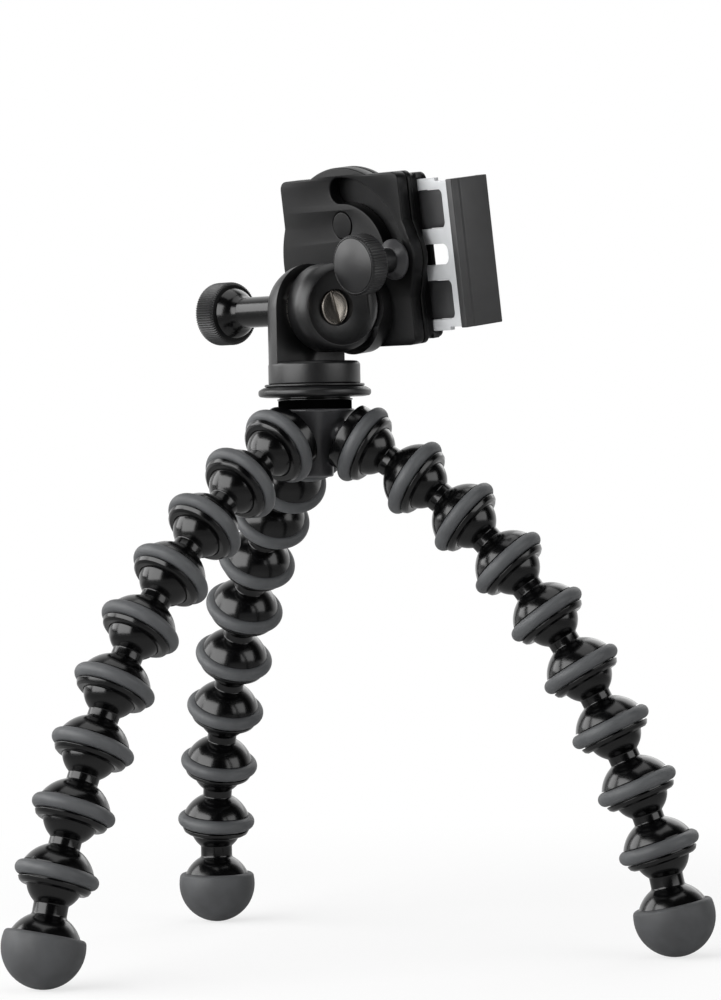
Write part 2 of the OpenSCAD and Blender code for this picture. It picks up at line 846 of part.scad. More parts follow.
module lock_stud() {
  color(METAL) in_clamp() {
    rod_y(lock_stud_r, lock_x, lock_z, lock_face + lock_stud_end, lock_stud_stop);
    difference() {
      rod_y(lock_shoulder_r, lock_x, lock_z, lock_back, body_y);
      rod_y(lock_stud_r - fit, lock_x, lock_z, lock_back - over, body_y + over);
    }
  }
}

// Loose washer with a slanted side under the lock knob
module lock_collar() {
  top = lock_back - collar_t;
  color(KNOB) in_clamp() difference() {
    translate([lock_x, 0, lock_z]) rotate([-90, 0, 0]) rotate_extrude() polygon([
      [0, top],
      [collar_top_r, top],
      [lock_collar_r, lock_back - collar_rim_t],
      [lock_collar_r, lock_back],
      [0, lock_back]
    ]);
    rod_y(lock_stud_r + fit, lock_x, lock_z, top - over, lock_back + over);
  }
}

// Knurled knob with a domed face and a long neck
module lock_knob() {
  rim = lock_face + lock_w;
  neck_end = lock_back - collar_t - fit;
  dome_edge_r = lock_r - lock_chamfer;
  dome_r = (pow(dome_edge_r, 2) + pow(lock_dome_h, 2)) / (2 * lock_dome_h);
  color(KNOB) in_clamp() translate([lock_x, 0, lock_z]) difference() {
    rotate([-90, 0, 0]) rotate_extrude() {
      polygon([
        [0, lock_face],
        [dome_edge_r, lock_face],
        [lock_r, lock_face + lock_chamfer],
        [lock_r, rim - lock_chamfer],
        [dome_edge_r, rim],
        [lock_neck_r, rim],
        [lock_neck_r, neck_end],
        [0, neck_end]
      ]);
      translate([0, lock_face - lock_dome_h + dome_r]) disc_section(dome_r, -dome_r, lock_dome_h - dome_r);
    }
    for (k = [1 : lock_knurls]) rotate([0, k * 360 / lock_knurls, 0]) translate([lock_r, 0, 0])
      rod_y(lock_knurl_r, 0, 0, lock_face, rim + over);
    rod_y(lock_stud_r + fit, 0, 0, lock_face + lock_stud_end - fit, cover_y);
  }
}

// Outlines of the two windows, above and below the middle
module window_outline(inset) {
  half_h = (window_high - window_low) / 2;
  for (side = [-1, 1])
    translate([slide_slot_right - window_len / 2, pivot_z + side * (window_low + window_high) / 2])
      round_rect(window_len / 2 - inset, half_h - inset, window_corner_r);
}

module slider_frame() {
  end_r = slide_slot_w / 2;
  end_x = slide_slot_right - end_r;
  color(PALE) in_clamp() difference() {
    translate([slide_left, slide_y, pivot_z - slide_w / 2]) cube([slide_len, slide_t, slide_w]);
    plate_y(slide_y - over, slide_y + slide_t + over) {
      window_outline(0);
      translate([slide_slot_left, pivot_z - end_r]) square([end_x - slide_slot_left, slide_slot_w]);
      translate([end_x, pivot_z]) circle(r = end_r);
      for (side = [-1, 1])
        translate([moving_back - slide_notch_len, pivot_z + side * slide_w / 2 - slide_notch])
          square([slide_notch_len + over, 2 * slide_notch]);
    }
  }
}

module slider_pads() {
  color(PAD) in_clamp() plate_y(slide_y, slide_y + slide_t) window_outline(fit);
}

module moving_jaw() {
  color(PLASTIC) in_clamp() difference() {
    jaw_plate(moving_back, 1);
    jaw_crease_cut(moving_back, 1);
  }
}

module moving_jaw_pad() {
  color(RUBBER) in_clamp() jaw_pad(moving_back, 1);
}

hub_body();
hub_rings();
lock_wheel();
tripod_screw();
platform_pad();
head_base();
thread_insert();
tilt_washer();
tilt_knob();
tilt_knob_insert();
tilt_block();
tilt_bolt();
back_cover();
cover_cap();
pivot_screw();
pivot_washer();
clamp_housing();
housing_front();
front_pads();
front_screws();
fixed_jaw();
fixed_jaw_pad();
lock_stud();
lock_collar();
lock_knob();
slider_frame();
slider_pads();
moving_jaw();
moving_jaw_pad();
for (leg = LEGS, i = LINKS) leg_link(leg, i);
for (leg = LEGS) leg_foot(leg);
for (leg = LEGS) leg_foot_cap(leg);
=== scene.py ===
import json
import math

import bmesh
import bpy
from mathutils import Matrix, Vector


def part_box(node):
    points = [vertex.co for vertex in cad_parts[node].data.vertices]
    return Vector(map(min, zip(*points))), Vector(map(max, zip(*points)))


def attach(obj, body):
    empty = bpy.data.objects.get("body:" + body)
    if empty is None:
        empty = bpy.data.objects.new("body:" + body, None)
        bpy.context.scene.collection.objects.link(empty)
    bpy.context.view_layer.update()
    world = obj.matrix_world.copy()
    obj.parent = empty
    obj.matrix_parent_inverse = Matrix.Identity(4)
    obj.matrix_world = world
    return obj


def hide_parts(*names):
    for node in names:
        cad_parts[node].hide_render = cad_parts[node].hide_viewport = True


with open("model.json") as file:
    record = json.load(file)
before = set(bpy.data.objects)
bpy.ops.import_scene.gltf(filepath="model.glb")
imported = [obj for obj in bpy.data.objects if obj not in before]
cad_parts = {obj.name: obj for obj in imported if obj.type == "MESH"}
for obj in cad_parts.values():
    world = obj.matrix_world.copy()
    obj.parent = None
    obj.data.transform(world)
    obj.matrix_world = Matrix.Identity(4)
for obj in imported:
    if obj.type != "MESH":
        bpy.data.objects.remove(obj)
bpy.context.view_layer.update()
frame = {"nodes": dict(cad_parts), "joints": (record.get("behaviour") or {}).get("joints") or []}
MM = 0.001

# Places taken from the frame: every pivot comes from the joint that turns there
JOINTS = {joint["name"]: joint for joint in frame["joints"]}
LEGS = ("a", "b", "c")
LINKS = 8


def pivot(joint):
    return Vector(JOINTS[joint]["pos_m"])


def axis_frame(at, z_axis, x_hint=Vector((0, 0, 1))):
    """A frame at a point with +Z along z_axis and +X as near as possible to x_hint."""
    z = z_axis.normalized()
    hint = x_hint if abs(z.dot(x_hint)) < 0.99 else Vector((1, 0, 0))
    x = (hint - z * hint.dot(z)).normalized()
    y = z.cross(x)
    place = Matrix((x, y, z)).transposed().to_4x4()
    place.translation = at
    return place


TILT = pivot("head_tilt")
CLAMP_BACK = Vector(JOINTS["clamp_swivel"]["axis"])
CLAMP_Y = -CLAMP_BACK
CLAMP_Z = Vector((1, 0, 0)).cross(CLAMP_Y)
CLAMP = Matrix((Vector((1, 0, 0)), CLAMP_Y, CLAMP_Z)).transposed().to_4x4()
CLAMP.translation = TILT
# Turns a piece drawn about +Z so that it points along the clamp's own +Y, or along +X
ALONG_Y = CLAMP @ Matrix(((1, 0, 0, 0), (0, 0, 1, 0), (0, -1, 0, 0), (0, 0, 0, 1)))
TURN_X = Matrix(((0, 0, 1, 0), (1, 0, 0, 0), (0, 1, 0, 0), (0, 0, 0, 1)))
ALONG_X = Matrix.Translation(TILT) @ TURN_X
CLAMP_ALONG_X = CLAMP @ TURN_X


def clamp_local(joint):
    """A joint's place in the clamp's own frame, in millimetres."""
    return (CLAMP.inverted() @ pivot(joint)) / MM


SWIVEL = clamp_local("clamp_swivel")
LOCK = clamp_local("lock_knob_turn")


def ball(leg, i):
    """The centre of a leg's ball joint, counted from 0 at the hub."""
    return pivot(f"leg_{leg}_ball_{i + 1}")


def foot_centre(leg):
    low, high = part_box(f"leg_{leg}_foot_cap")
    return Vector(((low.x + high.x) / 2, (low.y + high.y) / 2, low.z + FOOT_R * MM))


# Sizes of the links, in millimetres, along a leg from the centre of the link's own ball
BALL_R = 8.2
BALL_FLAT = 3.0
NECK_R = 4.6
NECK_STEP = 0.35
NECK_FILLET = 0.55
FILLET_TURN = 0.5
NECK_FLARE = 0.6
NECK_SOFT = 0.5
# Cup: its dome, its lip, its mouth and the seat inside
CUP_R = 11.15
CUP_CENTRE = 0.3
LIP_EDGE = 0.35
LIP_SHOULDER = 1.0
LIP_SHOULDER_SOFT = 0.3
LIP_FLAT = 1.85
LIP_FLAT_SOFT = 0.2
LIP_DROP = 0.55
MOUTH = 2.45
MOUTH_SOFT = 0.15
MOUTH_FLARE = 0.17
MOUTH_FLARE_H = 0.6
SOCKET_R = 8.25
SOCKET_START = 0.7
CEILING = 6.2
# Rubber ring and its groove
GROOVE_R = 9.5
GROOVE_HALF = 2.4
RING_BACK = 1.8
RING_R = 12.25
RING_TUBE = 2.1
# Foot: its shell, then the rubber round it
FOOT_NECK_R = 5.0
FOOT_FLARE = 1
FOOT_FLARE_H = 0.6
FOOT_FLARE_SOFT = 1.2
FOOT_DOME_R = 10.9
FOOT_DOME_DROP = 1.0
FOOT_PLUG = 9.6
FOOT_R = 12.1
FOOT_RIM = 3.5
FOOT_SHOULDER = 1.3
CAP_LIP = 0.6
CAP_SOFT = 0.2
SOFT = 0.25
# Small steps that keep two neighbouring points of an outline apart
SEAM = 0.05
JOIN_GAP = 0.1
PITCH = (ball("a", 1) - ball("a", 0)).length / MM
FOOT_REACH = (foot_centre("a") - ball("a", LINKS)).length / MM
ARM_SLOPE = math.radians(30)
ARM_R = 10.2

# Steps round a turned piece, the step along an arc, and the angle in degrees that stays a sharp edge
TURNS = 96
ARC_STEP = math.radians(6)
TURNED_SHARP = 35
ROUNDED_SHARP = 30
# Points of an outline closer than this are one, in millimetres
MERGE = 0.004


# Outlines in (radius, height), for turning about an axis
def arc(cx, cz, r, start, end):
    """Points of an arc about (cx, cz) between two angles in radians, both ends included."""
    steps = max(2, math.ceil(abs(end - start) / ARC_STEP))
    angles = [start + (end - start) * k / steps for k in range(steps + 1)]
    return [(cx + r * math.cos(a), cz + r * math.sin(a)) for a in angles]


def sphere_arc(cz, r, low, high):
    """The outer side of a ball centred on the axis at cz, between two heights."""
    return arc(0, cz, r, math.asin((low - cz) / r), math.asin((high - cz) / r))


def softened(points):
    """The outline with each corner (r, z, radius) that names a radius turned into an arc."""
    result = []
    for k, point in enumerate(points):
        if len(point) == 2:
            result.append(point)
            continue
        here = Vector(point[:2])
        before = Vector(points[k - 1][:2]) - here
        after = Vector(points[(k + 1) % len(points)][:2]) - here
        half = before.angle(after) / 2
        reach = min(point[2] / math.tan(half), before.length * 0.49, after.length * 0.49)
        radius = reach * math.tan(half)
        start = here + before.normalized() * reach
        end = here + after.normalized() * reach
        middle = here + (before.normalized() + after.normalized()).normalized() * (radius / math.sin(half))
        a, b = start - middle, end - middle
        steps = max(2, math.ceil((math.pi - 2 * half) / (3 * ARC_STEP)))
        for s in range(steps + 1):
            swing = a.lerp(b, s / steps)
            result.append(tuple(middle + swing.normalized() * radius))
    return result


def new_object(name, data):
    made = bpy.data.objects.new(name, data)
    bpy.context.scene.collection.objects.link(made)
    return made


def finish_mesh(bm, name, smooth_angle=TURNED_SHARP):
    bmesh.ops.recalc_face_normals(bm, faces=bm.faces)
    mesh = bpy.data.meshes.new(name)
    bm.to_mesh(mesh)
    bm.free()
    smooth(mesh, smooth_angle)
    return new_object(name, mesh)


def revolve(name, outline, place, closed=False, turns=TURNS, ribs=None):
    """A piece turned from an outline in millimetres about its own +Z, then put in its place.
    ribs is (count, depth, lowest radius): what lies beyond that radius is ribbed round the axis."""
    bm = bmesh.new()
    rows = []
    for r, z in outline:
        if r < 1e-6:
            rows.append([bm.verts.new((0, 0, z * MM))])
            continue
        row = []
        for k in range(turns):
            angle = math.tau * k / turns
            reach = r
            if ribs and r > ribs[2]:
                reach -= ribs[1] * (0.5 + 0.5 * math.cos(ribs[0] * angle))
            row.append(bm.verts.new((reach * math.cos(angle) * MM, reach * math.sin(angle) * MM, z * MM)))
        rows.append(row)
    pairs = list(zip(rows, rows[1:] + rows[:1])) if closed else list(zip(rows, rows[1:]))
    for lower, upper in pairs:
        for k in range(turns):
            nxt = (k + 1) % turns
            if len(lower) == 1 and len(upper) > 1:
                bm.faces.new((lower[0], upper[nxt], upper[k]))
            elif len(upper) == 1 and len(lower) > 1:
                bm.faces.new((lower[k], lower[nxt], upper[0]))
            elif len(lower) > 1:
                bm.faces.new((lower[k], lower[nxt], upper[nxt], upper[k]))
    bmesh.ops.transform(bm, matrix=place, verts=bm.verts)
    return finish_mesh(bm, name)


def evaluated_mesh(piece):
    """A new mesh of a piece with its modifiers, or of what a curve draws."""
    bpy.context.view_layer.update()
    return bpy.data.meshes.new_from_object(piece.evaluated_get(bpy.context.evaluated_depsgraph_get()))


def apply_modifiers(piece):
    mesh = evaluated_mesh(piece)
    piece.modifiers.clear()
    piece.data = mesh


def smooth(mesh, sharp_angle):
    """Shades a mesh smooth, with edges sharper than an angle in degrees kept sharp."""
    mesh.polygons.foreach_set("use_smooth", [True] * len(mesh.polygons))
    mesh.set_sharp_from_angle(angle=math.radians(sharp_angle))


def plate(name, loops, low, high, place, bevel=0.3):
    """A flat piece with rounded edges: its outlines in millimetres, holes among them, thickened
    along the place's own +Z from low to high."""
    curve = bpy.data.curves.new(name, "CURVE")
    curve.dimensions = "2D"
    curve.fill_mode = "BOTH"
    for loop in loops:
        spline = curve.splines.new("POLY")
        spline.points.add(len(loop) - 1)
        for point, (x, y) in zip(spline.points, loop):
            point.co = (x * MM, y * MM, 0, 1)
        spline.use_cyclic_u = True
    curve.bevel_depth = bevel * MM
    curve.bevel_resolution = 2
    curve.offset = -bevel * MM
    curve.extrude = ((high - low) / 2 - bevel) * MM
    drawn = new_object(name + "_outline", curve)
    mesh = evaluated_mesh(drawn)
    bpy.data.objects.remove(drawn)
    bpy.data.curves.remove(curve)
    bm = bmesh.new()
    bm.from_mesh(mesh)
    bpy.data.meshes.remove(mesh)
    bmesh.ops.remove_doubles(bm, verts=bm.verts, dist=MERGE * MM)
    bmesh.ops.translate(bm, vec=(0, 0, (low + high) / 2 * MM), verts=bm.verts)
    bmesh.ops.transform(bm, matrix=place, verts=bm.verts)
    return finish_mesh(bm, name, ROUNDED_SHARP)


def round_rect(cx, cy, half_w, half_h, r):
    """A rectangle with round corners, anticlockwise."""
    points = []
    for k, (sx, sy) in enumerate(((1, 1), (-1, 1), (-1, -1), (1, -1))):
        start = k * math.pi / 2
        points += arc(cx + sx * (half_w - r), cy + sy * (half_h - r), r, start, start + math.pi / 2)
    return points


def carve(piece, cutter, operation="DIFFERENCE"):
    """Applies a boolean with a cutter that is then deleted."""
    modifier = piece.modifiers.new("cut", "BOOLEAN")
    modifier.operation = operation
    modifier.solver = "EXACT"
    modifier.object = cutter
    apply_modifiers(piece)
    bpy.data.objects.remove(cutter)


def round_edges(piece, width, angle=35, segments=3):
    """Rounds a piece's sharp edges and applies it."""
    modifier = piece.modifiers.new("round", "BEVEL")
    modifier.width = width * MM
    modifier.segments = segments
    modifier.limit_method = "ANGLE"
    modifier.angle_limit = math.radians(angle)
    modifier.harden_normals = False
    modifier.use_clamp_overlap = True
    apply_modifiers(piece)
    smooth(piece.data, ROUNDED_SHARP)


def blended(name, pieces, grain, passes):
    """Joins pieces into one skin with soft fillets where they meet."""
    bm = bmesh.new()
    for piece in pieces:
        bm.from_mesh(piece.data)
        bpy.data.objects.remove(piece)
    skin = finish_mesh(bm, name)
    melt = skin.modifiers.new("melt", "REMESH")
    melt.mode = "VOXEL"
    melt.voxel_size = grain * MM
    relax = skin.modifiers.new("relax", "SMOOTH")
    relax.factor = 0.5
    relax.iterations = passes
    apply_modifiers(skin)
    skin.data.polygons.foreach_set("use_smooth", [True] * len(skin.data.polygons))
    return skin


# Materials: scales of the noises, in cycles per metre, and how far they reach
CLOUD_SCALE = 120
GLOSS_SCALE = 260
GLOSS_DETAIL = 5
FINE_DETAIL = 2
GRAIN_STRENGTH = 0.35
MARK_SCALE = 4000
MARK_SPREAD = 0.15
MARK_STRENGTH = 0.1
MARK_DEPTH = 0.000001


def shader(name, colour, roughness, specular=0.5, metallic=0.0):
    material = bpy.data.materials.new(name)
    material.use_nodes = True
    node = material.node_tree.nodes["Principled BSDF"]
    node.inputs["Base Color"].default_value = (*colour, 1)
    node.inputs["Roughness"].default_value = roughness
    node.inputs["Specular IOR Level"].default_value = specular
    node.inputs["Metallic"].default_value = metallic
    return material, node


def add_noise(material, scale, detail=3.0):
    """A noise texture on the piece's own coordinates."""
    tree = material.node_tree
    place = tree.nodes.new("ShaderNodeTexCoord")
    noise = tree.nodes.new("ShaderNodeTexNoise")
    noise.inputs["Scale"].default_value = scale
    noise.inputs["Detail"].default_value = detail
    tree.links.new(place.outputs["Object"], noise.inputs["Vector"])
    return noise


def add_bump(material, node, noise, strength, distance):
    tree = material.node_tree
    bump = tree.nodes.new("ShaderNodeBump")
    bump.inputs["Strength"].default_value = strength
    bump.inputs["Distance"].default_value = distance
    tree.links.new(noise.outputs["Fac"], bump.inputs["Height"])
    tree.links.new(bump.outputs["Normal"], node.inputs["Normal"])


def add_range(material, noise, low, high, socket):
    """Lets a noise vary one number of the shader between two values."""
    tree = material.node_tree
    spread = tree.nodes.new("ShaderNodeMapRange")
    spread.inputs["From Min"].default_value = 0.3
    spread.inputs["From Max"].default_value = 0.7
    spread.inputs["To Min"].default_value = low
    spread.inputs["To Max"].default_value = high
    tree.links.new(noise.outputs["Fac"], spread.inputs["Value"])
    tree.links.new(spread.outputs["Result"], socket)


def add_tint(material, node, noise, dark, light):
    """Lets a noise vary the colour between two near tones."""
    tree = material.node_tree
    ramp = tree.nodes.new("ShaderNodeValToRGB")
    ramp.color_ramp.elements[0].position = 0.35
    ramp.color_ramp.elements[1].position = 0.65
    ramp.color_ramp.elements[0].color = (*dark, 1)
    ramp.color_ramp.elements[1].color = (*light, 1)
    tree.links.new(noise.outputs["Fac"], ramp.inputs["Fac"])
    tree.links.new(ramp.outputs["Color"], node.inputs["Base Color"])


def plastic(name, dark, light, rough, grain, depth, specular=0.5):
    """Moulded plastic: cloudy tone, uneven gloss and a fine grain of a depth in metres."""
    material, node = shader(name, light, rough[1], specular)
    cloud = add_noise(material, CLOUD_SCALE)
    add_tint(material, node, cloud, dark, light)
    gloss = add_noise(material, GLOSS_SCALE, GLOSS_DETAIL)
    add_range(material, gloss, *rough, node.inputs["Roughness"])
    fine = add_noise(material, grain, FINE_DETAIL)
    add_bump(material, node, fine, GRAIN_STRENGTH, depth)
    return material


def metal(name, colour, roughness):
    """Turned metal with fine tool marks."""
    material, node = shader(name, colour, roughness, metallic=1.0)
    marks = add_noise(material, MARK_SCALE, FINE_DETAIL)
    low, high = roughness * (1 - MARK_SPREAD), roughness * (1 + MARK_SPREAD)
    add_range(material, marks, low, high, node.inputs["Roughness"])
    add_bump(material, node, marks, MARK_STRENGTH, MARK_DEPTH)
    return material


GLOSS_BLACK = plastic(
    "gloss_black_plastic", (0.0007, 0.0007, 0.0008), (0.0012, 0.0012, 0.0014),
    rough=(0.17, 0.21), grain=2500, depth=0.000002, specular=0.43,
)
# Painted shade: a flat black with no gloss at all, put in the hub's recess under the wheel so that the
# crevice reads as deep shadow
PAINTED_SHADE_BLACK = plastic(
    "painted_recess_shade_black", (0.0008, 0.0008, 0.0008), (0.0012, 0.0012, 0.0012),
    rough=(0.6, 0.7), grain=3200, depth=0.000004, specular=0.0,
)
SATIN_BLACK = plastic(
    "satin_black_plastic", (0.003, 0.003, 0.0033), (0.0044, 0.0044, 0.0048),
    rough=(0.35, 0.41), grain=3200, depth=0.000004,
)
# Painted shade: a darker, less glossy copy of the satin black, so that the back cover, its plug and the
# housing look shaded
SHADED_PLATE_BLACK = plastic(
    "shaded_plate_black_plastic", (0.0026, 0.0026, 0.0028), (0.0038, 0.0038, 0.0041),
    rough=(0.33, 0.39), grain=3200, depth=0.000006, specular=0.2,
)
# A grey plastic: the lock collar's own tone, and also painted light on the hub's core, a black plastic part
# given this lighter tone so that its shadowed funnel looks lit
COLLAR_GREY_AND_LIT_CORE = plastic(
    "collar_grey_and_lit_core_plastic", (0.034, 0.034, 0.036), (0.042, 0.042, 0.045),
    rough=(0.3, 0.36), grain=3000, depth=0.000003,
)
GRIP_BLACK = plastic(
    "grip_black_plastic", (0.007, 0.007, 0.0075), (0.01, 0.01, 0.0107),
    rough=(0.42, 0.5), grain=3600, depth=0.000015,
)
KNOB_BLACK = plastic(
    "knob_black_plastic", (0.004, 0.004, 0.0044), (0.006, 0.006, 0.0065),
    rough=(0.33, 0.39), grain=3200, depth=0.000004,
)
JAW_BLACK = plastic(
    "jaw_black_plastic", (0.022, 0.022, 0.0225), (0.028, 0.028, 0.0288),
    rough=(0.42, 0.5), grain=3200, depth=0.000006,
)
RUBBER = plastic(
    "dark_grey_rubber", (0.05, 0.052, 0.055), (0.066, 0.069, 0.072),
    rough=(0.5, 0.62), grain=3000, depth=0.00003,
)
FOOT_RUBBER = plastic(
    "foot_rubber", (0.04, 0.041, 0.043), (0.052, 0.054, 0.057),
    rough=(0.55, 0.66), grain=2600, depth=0.00004,
)
PALE = plastic(
    "pale_grey_plastic", (0.46, 0.47, 0.48), (0.52, 0.53, 0.54),
    rough=(0.35, 0.45), grain=2600, depth=0.00001,
)
INSERT = plastic(
    "dark_insert_plastic", (0.014, 0.014, 0.015), (0.02, 0.02, 0.021),
    rough=(0.45, 0.55), grain=2800, depth=0.00002,
)
STEEL = metal("turned_steel", (0.5, 0.49, 0.47), 0.28)
DARK_STEEL = metal("worn_steel", (0.3, 0.275, 0.245), 0.22)
BRASS = metal("turned_brass", (0.6, 0.42, 0.16), 0.3)


def paint(piece, material):
    piece.data.materials.clear()
    piece.data.materials.append(material)


def dress(piece, material, body, slot, *nodes):
    """Finishes a piece: its material, the body it moves with, and what it stands for."""
    paint(piece, material)
    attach(piece, body)
    if nodes:
        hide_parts(*nodes)


# Legs
def cup_outline(at, top):
    """Outer side of a cup whose ball centre is at a height, from a height on its dome to its seat."""
    centre = at + CUP_CENTRE
    low, high = at - RING_BACK - GROOVE_HALF, at - RING_BACK + GROOVE_HALF
    mouth = at + MOUTH
    mouth_r = math.sqrt(SOCKET_R ** 2 - MOUTH ** 2)
    points = sphere_arc(centre, CUP_R, top, low - SEAM)
    edge = (math.sqrt(CUP_R ** 2 - (low - centre) ** 2), low, SOFT)
    points += softened([points[-1], edge, (GROOVE_R, low)])[1:]
    points += softened([
        (GROOVE_R, high),
        (CUP_R - LIP_EDGE, high, SOFT),
        (CUP_R - LIP_SHOULDER, mouth - LIP_DROP, LIP_SHOULDER_SOFT),
        (CUP_R - LIP_FLAT, mouth, LIP_FLAT_SOFT),
        (mouth_r, mouth, MOUTH_SOFT),
        (mouth_r + MOUTH_FLARE, mouth - MOUTH_FLARE_H),
    ])
    points += sphere_arc(at, SOCKET_R, mouth - SOCKET_START, at - CEILING)
    points.append((0, at - CEILING))
    return points


def ball_outline(neck_r):
    """A ball with its hidden side flat, up to where its neck begins."""
    start = -BALL_FLAT
    join = math.sqrt(BALL_R ** 2 - (neck_r + NECK_STEP) ** 2)
    points = [(0, start)] + sphere_arc(0, BALL_R, start, join)
    fillet = (neck_r + NECK_FILLET, join + NECK_FILLET, NECK_FILLET)
    return points + arc(*fillet, -math.pi / 2 - FILLET_TURN, -math.pi)


def link_outline():
    """A whole link: its ball, its thin neck and the cup that holds the next ball."""
    flare_r = NECK_R + NECK_FLARE
    join = PITCH + CUP_CENTRE - math.sqrt(CUP_R ** 2 - NECK_R ** 2)
    foot = PITCH + CUP_CENTRE - math.sqrt(CUP_R ** 2 - flare_r ** 2)
    points = ball_outline(NECK_R)
    neck_start = (NECK_R, points[-1][1] + JOIN_GAP)
    points += softened([neck_start, (NECK_R, join, NECK_SOFT), (flare_r, foot)])
    return points + cup_outline(PITCH, foot + SEAM)


def ring_outline(at):
    """Rubber ring, flat where it sits in its groove."""
    points = arc(RING_R - RING_TUBE, at - RING_BACK, RING_TUBE, -math.pi / 2, math.pi / 2)
    return points + [(GROOVE_R + SEAM, points[-1][1]), (GROOVE_R + SEAM, points[0][1])]


def foot_outline():
    """The last ball, its neck and the flared shell that ends in a plug inside the rubber foot."""
    rim = FOOT_REACH - FOOT_RIM - SEAM
    dome = FOOT_REACH + FOOT_DOME_DROP
    flare_r = FOOT_NECK_R + FOOT_FLARE
    flare_z = dome - math.sqrt(FOOT_DOME_R ** 2 - flare_r ** 2)
    points = ball_outline(FOOT_NECK_R)
    points += softened([
        (FOOT_NECK_R, points[-1][1] + JOIN_GAP),
        (FOOT_NECK_R, flare_z - FOOT_FLARE_H, FOOT_FLARE_SOFT),
        (flare_r, flare_z),
    ])
    points += sphere_arc(dome, FOOT_DOME_R, flare_z + SEAM, rim)
    plug = FOOT_PLUG - SEAM
    points += [(math.sqrt(plug ** 2 - FOOT_RIM ** 2), rim)]
    points += arc(0, FOOT_REACH, plug, -math.asin(FOOT_RIM / plug), math.pi / 2)
    return points


def foot_cap_outline():
    """The round rubber foot, hollow for the plug, with a soft shoulder at its upper edge."""
    reach = FOOT_R - FOOT_SHOULDER
    low = FOOT_SHOULDER - FOOT_RIM
    shoulder = math.sqrt(reach ** 2 - low ** 2)
    turn = math.atan2(low, shoulder)
    points = arc(0, 0, FOOT_R, math.pi / 2, turn)
    points += arc(shoulder, low, FOOT_SHOULDER, turn, -math.pi / 2)[1:]
    inner = math.sqrt(FOOT_PLUG ** 2 - FOOT_RIM ** 2)
    points += softened([
        (shoulder - JOIN_GAP, -FOOT_RIM),
        (inner, -FOOT_RIM, CAP_SOFT),
        (inner + CAP_SOFT, CAP_LIP - FOOT_RIM),
    ])[1:]
    points += arc(0, 0, FOOT_PLUG, -math.asin((FOOT_RIM - CAP_LIP) / FOOT_PLUG), math.pi / 2)
    return points


def build_legs():
    for leg in LEGS:
        for i in range(LINKS):
            start, end = ball(leg, i), ball(leg, i + 1)
            place = axis_frame(start, end - start)
            node = f"leg_{leg}_link_{i + 1}"
            dress(revolve(f"{node}_shell", link_outline(), place), GLOSS_BLACK, node, "leg_plastic", node)
            ring = revolve(f"{node}_ring", ring_outline(PITCH), place, closed=True)
            dress(ring, RUBBER, node, "grey_rubber", node)
        start, end = ball(leg, LINKS), foot_centre(leg)
        place = axis_frame(start, end - start)
        node = f"leg_{leg}_foot"
        dress(revolve(f"{node}_shell", foot_outline(), place), GLOSS_BLACK, node, "leg_plastic", node)
        cap = revolve(f"{node}_rubber", foot_cap_outline(), axis_frame(end, end - start))
        dress(cap, FOOT_RUBBER, node, "grey_rubber", f"{node}_cap")


# Hub
WHEEL_TO_CORE = 2.65
CORE_TOP = (pivot("lock_wheel_turn").z / MM) - WHEEL_TO_CORE
CORE_R = 11.3
CORE_BEND = 18.0
FUNNEL_R = 12.0
RECESS_R = 11.0
WAIST_R = 5.2
STEM = 5.6
STEM_SOFT = 0.6
# The funnel's shoulder, as drops below the core's top
FUNNEL_END = 1.6
SHOULDER_LOW = 1.5
SHOULDER_HIGH = 1.0
SHOULDER_IN = 0.1
SHOULDER_SOFT = 0.3
CORE_SEAT = 0.9
RECESS_IN = 1
RECESS_LOW = 2
RECESS_HIGH = 1.6
ARM_EDGE = 7.6
ARM_TAIL = 13.5
TAIL_R = 3.4
ROOT_BEND = 3.2
ROOT_STEP = 0.5
ROOT_OVERLAP = 0.6
ARM_SOFT = 0.35
CUP_START = 0.6
SKIN_GRAIN = 0.32
SKIN_PASSES = 12
NECK_H = 2.6
NECK_LOW = 1.5
NECK_STEP_IN = 0.7
# Small rim of the neck: inset from the core's radius, rise above the core's top, and rounding
NECK_RIM = ((0.4, NECK_LOW, 0.1), (0, 1.7, 0.2), (0, 2.1, 0.2), (NECK_STEP_IN, 2.2, 0.1))
WHEEL_R = 16.85
WHEEL_H = 3.1
PAD_R = 14.95
PAD_H = 0.8
PAD_SOFT = (0.3, 0.35)
WHEEL_TURNS = 160
# The wheel's edge: radius, rise above its underside, and rounding
WHEEL_EDGE = (
    (WHEEL_R - 2.2, 0, 0.4),
    (WHEEL_R, 0.3, 0.9),
    (WHEEL_R, 2.1, 0.9),
    (PAD_R + 0.4, WHEEL_H - 0.2, 0.4),
    (PAD_R - 1, WHEEL_H, 0.1),
)
UPRIGHT = Matrix.Identity(4)


def arm_frame(leg):
    """A frame at a leg's first ball, with +Z out along the hub's slanted arm."""
    at = ball(leg, 0)
    out = Vector((at.x, at.y, 0)).normalized()
    return axis_frame(at, out * math.cos(ARM_SLOPE) - Vector((0, 0, 1)) * math.sin(ARM_SLOPE))


def core_outline():
    """The hub's core: a stem, a narrow waist and a funnel that widens to a soft shoulder."""
    bend = math.acos((WAIST_R + CORE_BEND - FUNNEL_R) / CORE_BEND)
    waist_z = CORE_TOP - FUNNEL_END - CORE_BEND * math.sin(bend)
    low = (0, waist_z - STEM)
    points = [low] + softened([low, (WAIST_R, waist_z - STEM, STEM_SOFT), (WAIST_R, waist_z)])[1:]
    points += arc(WAIST_R + CORE_BEND, waist_z, CORE_BEND, math.pi, math.pi - bend)
    points += softened([
        (FUNNEL_R, CORE_TOP - SHOULDER_LOW),
        (FUNNEL_R - SHOULDER_IN, CORE_TOP - SHOULDER_HIGH, SHOULDER_SOFT),
        (RECESS_R - RECESS_IN, CORE_TOP - CORE_SEAT),
    ])[1:]
    return points + [(0, CORE_TOP - CORE_SEAT)]


